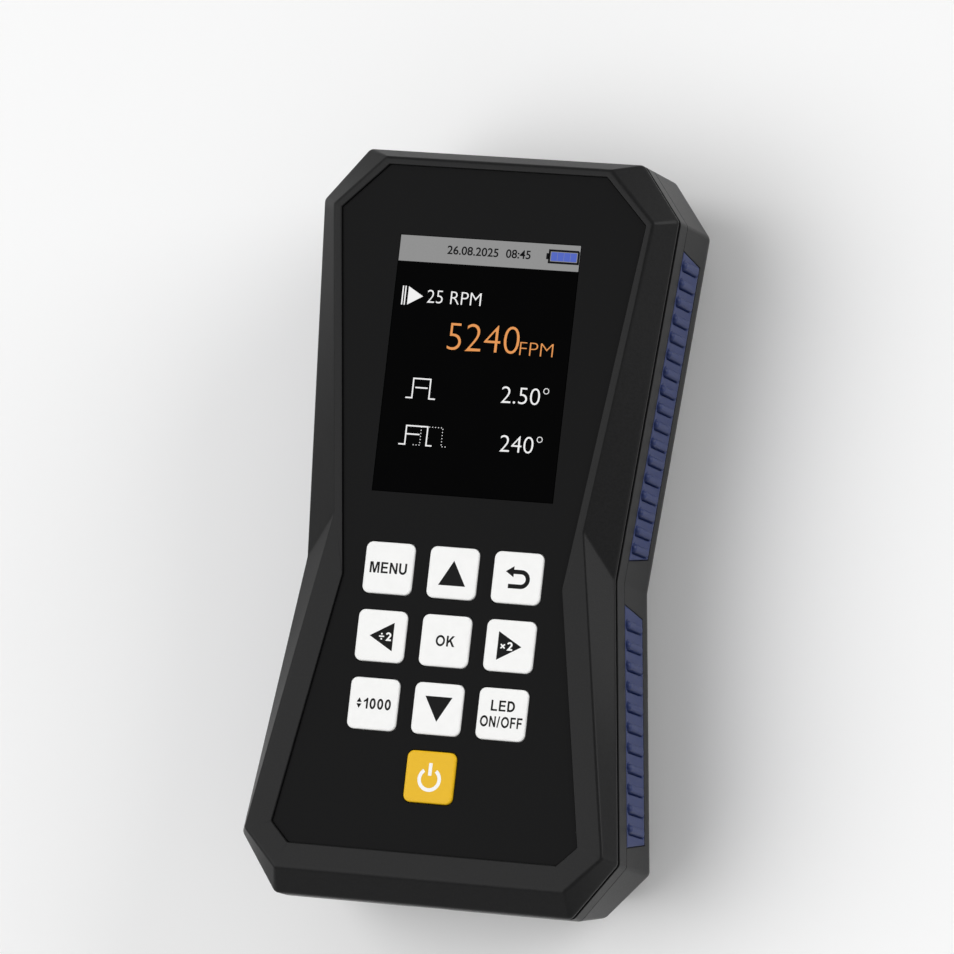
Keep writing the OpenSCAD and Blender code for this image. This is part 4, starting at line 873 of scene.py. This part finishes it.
def grip_skin(name):
    """One ribbed grip in its wall's axes: along, up, out. The face is a sheet over (along, up) whose height
    is rib_h (1 - q^2.6)^0.55 on a rib, with q the distance to the rib's middle line over half its width,
    sinking by half towards its rear end, less a hollow rib_moat exp(-((q - 1.22) / 0.14)^2) on its foot side
    and, half as deep again, round its front end, and less the drop of the rounded edge; the sheet is folded
    down at its border and closed behind."""
    trim = bpy.context.scene.strobe_trim
    _, start, stop, pitch = grip_walls()[name]
    low, high = (corner.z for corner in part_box("upper_right_grip"))
    slant, soft, r = trim.grip_slant, trim.grip_soft, trim.rib_w / 2
    count = int((stop - start - 2 * slant - trim.rib_w) / pitch) + 1
    ribs = (start + stop) / 2 + (np.arange(count) - (count - 1) / 2) * pitch
    moat = r * np.array([1.12, 1.22, 1.32, 1.44])
    across = r * 1.02 * np.sin(np.linspace(-np.pi / 2, np.pi / 2, 13))
    across = np.concatenate([-moat[::-1], across, moat])
    inner = np.sort(np.concatenate([(ribs[:, None] + across).ravel(), (ribs[1:] + ribs[:-1]) / 2]))
    border = np.array([0, 0.15, 0.4, 1.0]) * soft
    rear, front = low + RIB_INSET, high - RIB_INSET
    bend = (1 - np.cos(np.linspace(0, np.pi / 2, 9))) * r
    up = np.concatenate([
        low + border, rear + bend, np.linspace(rear + 1.3 * r, front - 1.3 * r, 6), front - bend,
        front - r + moat, high - border,
    ])
    up = np.unique(np.round(up, 8))
    lean = slant * (high - up) / (high - low)
    head, tail = start + lean, stop - lean
    step = 0.01 * MM * np.arange(1, len(inner) + 1)[:, None]
    lines = np.clip(inner[:, None], head + soft + step, tail - soft - step[::-1])
    along = np.concatenate([head + border[:, None], lines, tail - border[::-1, None]])
    z = np.broadcast_to(up, along.shape)
    middle, straight = (low + high) / 2, (front - rear) / 2 - r
    past = np.maximum(np.abs(z - middle) - straight, 0)
    offset = along[..., None] - ribs
    offset = np.take_along_axis(offset, np.abs(offset).argmin(axis=-1)[..., None], axis=-1)[..., 0]
    q = np.hypot(offset, past) / r
    sink = 1 - RIB_SINK * np.clip((middle + straight - z) / (2 * straight), 0, 1)
    height = trim.rib_h * sink * np.clip(1 - q**RIB_FLAT, 0, 1) ** RIB_ROUND
    ahead = (z - middle - straight) / r
    hollow = np.clip(np.maximum(ahead, -offset / r), 0, 1) * (1 + MOAT_FRONT * np.clip(ahead, 0, 1))
    height = height - trim.rib_moat * hollow * np.exp(-(((q - MOAT_AT) / MOAT_WIDTH) ** 2))
    edge = np.minimum(np.minimum(along - head, tail - along), np.minimum(z - low, high - z))
    dip = 1 - np.clip(edge / soft, 0, 1)
    height = height - soft * EDGE_DROP * (1 - np.sqrt(np.clip(1 - dip**2, 0, 1)))
    sheet = np.stack([along, z, height], axis=-1)
    folded = np.pad(sheet, ((1, 1), (1, 1), (0, 0)), mode="edge")
    folded[[0, -1], :, 2] = -trim.grip_t
    folded[:, [0, -1], 2] = -trim.grip_t
    index = numbered(folded)
    behind = np.concatenate([index[0, :-1], index[:-1, -1], index[-1, :0:-1], index[:0:-1, 0]])
    return folded.reshape(-1, 3), [*quads(index), behind.tolist()]


class STROBE_OT_grips(bpy.types.Operator):
    """Moulds the four ribbed rubber grips in their pockets"""

    bl_idname = "strobe.grips"
    bl_label = "Grips"

    def execute(self, context):
        for name, (ends, *_) in grip_walls().items():
            shape = grip_skin(name)
            for side, hand in ((1, "right"), (-1, "left")):
                piece(
                    f"{name}_{hand}_rubber", on_wall(shape, ends, side), "blue_grip",
                    stands_for=[f"{name}_{hand}_grip"],
                )
        return {"FINISHED"}


class STROBE_OT_keys(bpy.types.Operator):
    """Moulds the ten key caps with their collars and rounded top edges"""

    bl_idname = "strobe.keys"
    bl_label = "Keys"

    def execute(self, context):
        trim = context.scene.strobe_trim
        size, edge = trim.key_size, trim.key_edge
        crown, fillet, least = 0.03 * MM, 0.1 * MM, 0.3 * MM
        for key in KEYS:
            node = f"{key}_key"
            low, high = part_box(node)
            mid = box_mid(node)
            spread = (high.x - low.x - size) / 2
            collar_top = low.z + KEY_COLLAR
            steps = [
                (spread, low.z), (spread, collar_top), (0, collar_top), (0, high.z - crown),
                (-2 * edge, high.z - crown / 2), (-0.35 * size, high.z),
            ]
            rings = soften(panes(size, size, trim.key_corner, steps, least), [fillet, fillet, edge, least])
            piece(
                f"{key}_cap", placed(skin(rings), shift=(mid[0], mid[1], 0)),
                "amber_key" if key == "power" else "white_key", body=node, stands_for=[node],
            )
        return {"FINISHED"}


# Thickness of a printed sign, in millimetres
FILM = 0.03


def word(letters, width, height, x=0.0, y=0.0, lift=0.0):
    """Printed word from its unit letters, in millimetres about a key's or the display's middle."""
    points, faces = letters
    return (points * (width, height, FILM) + (x, y, lift + FILM / 2)) * MM, faces


def sign(outline, lift=0.0):
    """Printed shape from its outline in millimetres."""
    return slab(np.asarray(outline) * MM, lift * MM, (lift + FILM) * MM)


def triangle(x, y, w, h, angle):
    """Triangle with base w and height h about a point, its tip turned from +Y by an angle in degrees."""
    a = math.radians(angle)
    spin = np.array([[math.cos(a), math.sin(a)], [-math.sin(a), math.cos(a)]])
    return np.array([[0, h / 2], [w / 2, -h / 2], [-w / 2, -h / 2]]) @ spin + (x, y)


def key_prints():
    """The dark and the light signs by key, in millimetres about the key's middle."""
    hook = np.vstack([[[-1.2, 1.2]], arc((0.85, -0.25), 1.45, 90, -90), [[-1.7, -1.7]]])
    ring = arc((0, -0.45), 2.1, 126, 414, 48)
    ring_line = 0.72

    def arrow(x, angle):
        return sign(triangle(x, -0.05, 5.7, 5.0, angle))

    def tip(y, angle):
        return sign(triangle(-2.95, y, 1.05, 0.9, angle))

    dark = {
        "menu": [word(bold("MENU"), 7.8, 2.2)],
        "up": [arrow(0.1, 0)],
        "back": [sign(strip(hook, 0.87)), sign(triangle(-1.6, 1.2, 2.2, 1.7, 90), 0.002)],
        "halve": [arrow(0.15, 90)],
        "ok": [word(bold("OK"), 4.0, 2.15, 0.1)],
        "double": [arrow(0.05, -90)],
        "thousand": [word(bold("1000"), 5.75, 2.15, 0.9), tip(0.6, 0), tip(-0.6, 180)],
        "down": [arrow(0.1, 180)],
        "lamp": [word(bold("LED"), 5.0, 2.15, 0.1, 1.65), word(bold("ON/OFF"), 8.8, 2.15, 0.05, -1.55)],
    }
    light = {
        "halve": [word(bold("÷2"), 2.6, 1.7, 0.95, -0.05, 0.02)],
        "double": [word(bold("×2"), 2.6, 1.7, -0.6, -0.05, 0.02)],
        "power": [sign(strip(ring, ring_line)), sign(strip([[0, 0.3], [0, 2.8]], ring_line))],
    }
    return dark, light


class STROBE_OT_key_prints(bpy.types.Operator):
    """Prints the signs on the keys"""

    bl_idname = "strobe.key_prints"
    bl_label = "Key signs"

    def execute(self, context):
        dark, light = key_prints()
        sunk = 0.02 * MM
        for key in KEYS:
            node = f"{key}_key"
            mid, top = box_mid(node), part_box(node)[1].z
            for tone, prints, slot, look in (
                ("dark", dark, "overlay_film", "key_ink"), ("light", light, "white_key", "key_white_ink"),
            ):
                if key in prints:
                    shape = placed(joined(*prints[key]), shift=(mid[0], mid[1], top - sunk))
                    piece(f"{key}_{tone}_sign", shape, slot, look, body=node)
        return {"FINISHED"}


def pulse(left, rise, fall, right, high, low):
    """Line of one square pulse: foot, rise, flat top, fall, foot."""
    return [(left, low), (rise, low), (rise, high), (fall, high), (fall, low), (right, low)]


def dots(path, pitch, size):
    """Square dots at an even pitch along a path."""
    path = np.asarray(path, float)
    run = np.concatenate([[0], np.cumsum(np.linalg.norm(np.diff(path, axis=0), axis=1))])
    at = np.arange(pitch / 2, run[-1], pitch)
    middles = np.stack([np.interp(at, run, path[:, i]) for i in (0, 1)], axis=1)
    return [sign(rectangle(size, size) + m) for m in middles]


def display_signs(w, h):
    """Signs on the display by colour, in millimetres from its upper left corner and then about its middle:
    w is its width and h its height."""
    origin = np.array([-w / 2, h / 2])

    def at(points):
        return origin + np.asarray(points, float) * (1, -1)

    def text(words, width, height, x, y, lift=0.0, weight=-0.012):
        return word(lettering(words, weight), width, height, *at((x, y)), lift)

    bar, bar_y = 5.2, 2.45
    date = {"lift": 0.03, "weight": 0.014}
    battery, cell_pitch = 34.7, 1.36
    battery_line = np.vstack([rectangle(6.1, 2.4), rectangle(6.1, 2.4)[:1]]) + at((battery, bar_y))
    line = 0.27
    return {
        "bar": [sign(rectangle(w, bar) + at((w / 2, bar / 2)))],
        "ink": [
            text("26.08.2025", 10.8, 1.75, 15.5, bar_y, **date),
            text("08:45", 5.2, 1.75, 25.1, bar_y, **date),
            sign(strip(battery_line, 0.42), 0.035),
            sign(rectangle(0.6, 1.2) + at((battery - 3.4, bar_y)), 0.035),
        ],
        "charge": [
            sign(rectangle(1.3, 1.75) + at((battery + i * cell_pitch, bar_y)), 0.04)
            for i in (-1.5, -0.5, 0.5, 1.5)
        ],
        "readout": [
            text("5240", 15.1, 5.5, 19.8, 19.7, weight=-0.016),
            text("FPM", 7.0, 2.6, 31.1, 21.2, weight=-0.02),
        ],
        "text": [
            *[sign(rectangle(0.26, 3.8) + at((x, 12.1))) for x in (1.7, 2.25)],
            sign(triangle(*at((4.45, 12.1)), 3.7, 3.2, -90)),
            text("25 RPM", 11.4, 2.6, 12.65, 12.0), text("2.50°", 9.9, 3.5, 29.8, 30.5),
            text("240°", 8.8, 3.5, 30.1, 40.2),
            sign(strip(at(pulse(4.74, 6.09, 9.7, 11.0, 28.6, 32.5)), line)),
            sign(strip(at([(6.6, 30.4), (9.2, 30.4)]), line)),
            sign(strip(at(pulse(4.36, 5.7, 10.2, 11.4, 38.1, 41.85)), line)),
            sign(strip(at([(5.8, 39.75), (8.6, 39.75)]), line), 0.002),
            *dots(at(pulse(7.2, 8.86, 13.4, 14.6, 38.1, 41.85)), 0.62, 0.17),
        ],
    }


class STROBE_OT_display(bpy.types.Operator):
    """Lights the signs and figures on the display"""

    bl_idname = "strobe.display"
    bl_label = "Display"

    def execute(self, context):
        low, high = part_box("display_window")
        mid = (low + high) / 2
        w, h = high.x - low.x - 2 * WINDOW_BORDER, high.y - low.y - 2 * WINDOW_BORDER
        sunk = 0.01 * MM
        for name, shapes in display_signs(w / MM, h / MM).items():
            shape = placed(joined(*shapes), shift=(mid.x, mid.y, high.z - sunk))
            piece(f"display_{name}", shape, "display_window", f"display_{name}")
        return {"FINISHED"}


class STROBE_OT_lamps(bpy.types.Operator):
    """Makes the lamp bezel with its three flared openings, and the lenses behind them"""

    bl_idname = "strobe.lamps"
    bl_label = "Lamps"

    def execute(self, context):
        trim = context.scene.strobe_trim
        low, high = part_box("lamp_bezel")
        mid_z = box_mid("lamp_bezel")[2]
        seat = (0, low.y, mid_z)
        thick = high.y - low.y
        edge, fillet, flare = 0.4 * MM, 0.2 * MM, 0.6 * MM
        steps = [
            (BEZEL_FLANGE, 0), (BEZEL_FLANGE, BEZEL_FLANGE_T), (-BEZEL_GAP, BEZEL_FLANGE_T),
            (-BEZEL_GAP, thick), (-BEZEL_GAP - 3 * edge, thick),
        ]
        rings = soften(panes(trim.bezel_w, trim.bezel_h, trim.bezel_corner, steps), [fillet, fillet, edge])
        bore = trim.lens_d / 2 + LENS_GAP
        wide = bore + flare
        eye = turned([(bore, -MM), (bore, thick - flare), (wide, thick), (wide, thick + MM)])
        offsets = [i * trim.lamp_pitch for i in (-1, 0, 1)]
        eyes = joined(*[placed(eye, shift=(x, 0, 0)) for x in offsets])
        piece(
            "bezel_plate", placed(skin(rings), LAMP_AXES, seat), "black_shell", stands_for=["lamp_bezel"],
            cuts=placed(eyes, LAMP_AXES, seat), flat_faces=True,
        )
        back, front = (corner.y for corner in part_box("lamp_lenses"))
        deep, r = (front - back) / MM, trim.lens_d / 2 / MM
        profile = np.array([
            (1.7, 1.4), (1.7, 0), (3.0, 0), (6.2, 5.2), (6.7, 5.2), (6.7, 6.2), (r, 6.2), (r, deep - 0.35),
            (r - 0.2, deep - 0.1), (r - 0.5, deep - 0.02), (r - 2.4, deep - 0.02), (r - 2.7, deep - 0.3),
            (2.8, deep - 0.32), (2.3, deep - 0.16), (1.6, deep - 0.06), (0.8, deep - 0.01), (0.1, deep),
        ]) * MM
        lens = placed(turned(profile), LAMP_AXES)
        lenses = joined(*[placed(lens, shift=(x, back, mid_z)) for x in offsets])
        piece("lens_optics", lenses, "lens_clear", stands_for=["lamp_lenses"])
        return {"FINISHED"}


class STROBE_OT_socket(bpy.types.Operator):
    """Makes the charging socket: a drawn steel shell with round sides, and the dark tongue inside it"""

    bl_idname = "strobe.socket"
    bl_label = "Charging socket"

    def execute(self, context):
        low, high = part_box("usb_socket")
        mid = box_mid("usb_socket")
        wide, tall, deep = high.x - low.x, high.z - low.z, high.y - low.y
        sheet, lip, bottom = 0.32 * MM, 0.12 * MM, 0.8 * MM
        steps = [
            (-sheet, bottom), (-sheet, deep - lip), (lip - sheet, deep), (-lip, deep), (0, deep - lip),
            (0, 0),
        ]
        mouth = np.array(LAMP_AXES) * (1, -1, 1)
        seat = (mid[0], high.y, mid[2])
        shell = skin(panes(wide, tall, SOCKET_ROUND * tall, steps))
        piece("socket_shell", placed(shell, mouth, seat), "bright_steel", stands_for=["usb_socket"])
        inset, thick, corner = 2.6 * MM, 0.7 * MM, 0.2 * MM
        tongue = skin(panes(wide - inset, thick, corner, [(0, thick), (0, deep - thick)]))
        piece("socket_tongue", placed(tongue, mouth, seat), "bright_steel", "chip_epoxy")
        return {"FINISHED"}


class STROBE_OT_stand_insert(bpy.types.Operator):
    """Turns the brass stand insert with its thread"""

    bl_idname = "strobe.stand_insert"
    bl_label = "Stand insert"

    def execute(self, context):
        """The bore's radius follows a triangle wave of (z / pitch - angle / one turn)."""
        trim = context.scene.strobe_trim
        low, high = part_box("stand_insert")
        mid = box_mid("stand_insert")
        outer, tall = (high.x - low.x) / 2, high.z - low.z
        chamfer, core, thread_steps = 0.3 * MM, 2.55 * MM, 80
        crest = core + trim.thread_depth
        z = np.linspace(tall - chamfer, 2 * chamfer, thread_steps)
        turn = np.linspace(0, 1, CIRCLE_STEPS, endpoint=False)
        wave = np.abs(((z[:, None] / trim.thread_pitch - turn) % 1) * 2 - 1)
        radius = core + trim.thread_depth * wave
        angle = 2 * np.pi * turn
        thread = np.stack([
            radius * np.sin(angle), radius * np.cos(angle), np.broadcast_to(z[:, None], radius.shape),
        ], axis=-1)
        ends = [(crest + chamfer, tall)], [
            (crest + 0.1 * MM, chamfer), (crest + chamfer, 0), (outer - chamfer, 0), (outer, chamfer),
            (outer, tall - chamfer), (outer - chamfer, tall),
        ]
        head, foot = ([level(circle(r), h) for r, h in end] for end in ends)
        bush = skin(np.concatenate([head, thread, foot]), closed=True)
        piece("stand_bush", placed(bush, shift=(*mid[:2], low.z)), "brass", stands_for=["stand_insert"])
        return {"FINISHED"}


class STROBE_OT_finishes(bpy.types.Operator):
    """Gives each carried-over node the finish of its slot"""

    bl_idname = "strobe.finishes"
    bl_label = "Finishes"

    def execute(self, context):
        for part in frame["record"]["subparts"]:
            mesh = frame["nodes"][part["node"]].data
            mesh.materials.clear()
            mesh.materials.append(finish(part["material_slot"]))
        return {"FINISHED"}


def axes_matrix(x, y, z, place):
    """Placing matrix whose columns are three axes and a place."""
    return Matrix([[*row] for row in np.column_stack([x, y, z, place])] + [[0, 0, 0, 1]])


class STROBE_OT_stage(bpy.types.Operator):
    """Sets the pale floor, the soft light and the camera"""

    bl_idname = "strobe.stage"
    bl_label = "Stage"

    def execute(self, context):
        self.floor()
        self.world()
        self.lamps()
        self.camera()
        context.scene.view_settings.view_transform = "Standard"
        return {"FINISHED"}

    def floor(self):
        """Flat floor just under the object; far from it, its edge sweeps up by a square of the distance."""
        flat, edge, rise, drop = 4.0, 7.0, 0.5, 0.05 * MM
        radii = np.linspace(flat, edge, 13)
        heights = rise * ((radii - flat) / (edge - flat)) ** 2 - drop
        points, faces = turned(zip(radii, heights))
        *bands, middle, _ = faces
        mesh = bpy.data.meshes.new("stage_floor")
        mesh.from_pydata(points.tolist(), [], [*bands, middle[::-1]])
        mesh.polygons.foreach_set("use_smooth", np.ones(len(mesh.polygons), bool))
        mesh.materials.append(finish("stage_floor"))
        linked("stage_floor", mesh)

    def world(self):
        """Pale surroundings, dimmer overhead."""
        world = bpy.data.worlds.new("studio")
        bpy.context.scene.world = world
        world.use_nodes = True
        nodes, links = world.node_tree.nodes, world.node_tree.links
        place = nodes.new("ShaderNodeTexCoord")
        lean = nodes.new("ShaderNodeVectorMath")
        lean.operation = "DOT_PRODUCT"
        lean.inputs[1].default_value = (0.1, 0, -0.99)
        links.new(place.outputs["Generated"], lean.inputs[0])
        swing = nodes.new("ShaderNodeMapRange")
        for socket, value in (("From Min", -1.0), ("From Max", 0.0), ("To Min", 0.28), ("To Max", 0.75)):
            swing.inputs[socket].default_value = value
        links.new(lean.outputs["Value"], swing.inputs["Value"])
        links.new(swing.outputs["Result"], nodes["Background"].inputs["Strength"])
        nodes["Background"].inputs["Color"].default_value = (1, 1, 1, 1)

    def lamps(self):
        """Wide soft lamps: name, direction, strength, and the angle that each one fills."""
        for name, towards, strength, spread in (
            ("right_light", (0.80, 0.50, 0.33), 1.4, 40),
            ("top_light", (-0.56, -0.10, 0.82), 1.85, 60),
        ):
            lamp = bpy.data.lights.new(name, "SUN")
            lamp.energy = strength
            lamp.angle = math.radians(spread)
            back = unit(np.array(towards))
            side = unit(np.cross((0, 0, 1), back))
            linked(name, lamp).matrix_world = axes_matrix(side, np.cross(back, side), back, back * 2)

    def camera(self):
        """Long lens, above the lower right of the object."""
        camera = bpy.data.cameras.new("camera")
        camera.lens = 339.6
        camera.sensor_width = 36.0
        camera.clip_end = 20.0
        obj = linked("camera", camera)
        obj.matrix_world = axes_matrix(
            (0.9372, 0.1114, -0.3305), (-0.0691, 0.9881, 0.1372), (0.3419, -0.1057, 0.9338),
            (0.6111, -0.1779, 1.6993),
        )
        bpy.context.scene.camera = obj


class STROBE_PT_pieces(bpy.types.Panel):
    """Lists what is built, and its sizes and colours"""

    bl_idname = "STROBE_PT_pieces"
    bl_label = "Stroboscope"
    bl_space_type = "VIEW_3D"
    bl_region_type = "UI"
    bl_category = "Stroboscope"

    def draw(self, context):
        for operator in OPERATORS:
            self.layout.operator(operator.bl_idname)
        for group, settings in SETTINGS.items():
            box = self.layout.box()
            for name in settings.__annotations__:
                box.prop(getattr(context.scene, group), name)


SETTINGS = {
    "strobe_case": CaseSizes,
    "strobe_panel": PanelSizes,
    "strobe_trim": TrimSizes,
    "strobe_colours": Colours,
}
OPERATORS = (
    STROBE_OT_stage,
    STROBE_OT_finishes,
    STROBE_OT_front_shell,
    STROBE_OT_rear_shell,
    STROBE_OT_grips,
    STROBE_OT_keys,
    STROBE_OT_key_prints,
    STROBE_OT_display,
    STROBE_OT_lamps,
    STROBE_OT_socket,
    STROBE_OT_stand_insert,
)
CLASSES = (*SETTINGS.values(), *OPERATORS, STROBE_PT_pieces)


def register():
    """Adds the classes and the settings."""
    for cls in CLASSES:
        bpy.utils.register_class(cls)
    for group, cls in SETTINGS.items():
        setattr(bpy.types.Scene, group, bpy.props.PointerProperty(type=cls))


def unregister():
    """Takes the settings and the classes away."""
    for group in SETTINGS:
        delattr(bpy.types.Scene, group)
    for cls in reversed(CLASSES):
        bpy.utils.unregister_class(cls)


def main():
    """Builds the stage and every piece."""
    register()
    bpy.ops.strobe.stage()
    bpy.ops.strobe.finishes()
    bpy.ops.strobe.front_shell()
    bpy.ops.strobe.rear_shell()
    bpy.ops.strobe.grips()
    bpy.ops.strobe.keys()
    bpy.ops.strobe.key_prints()
    bpy.ops.strobe.display()
    bpy.ops.strobe.lamps()
    bpy.ops.strobe.socket()
    bpy.ops.strobe.stand_insert()


if __name__ == "__main__":
    main()
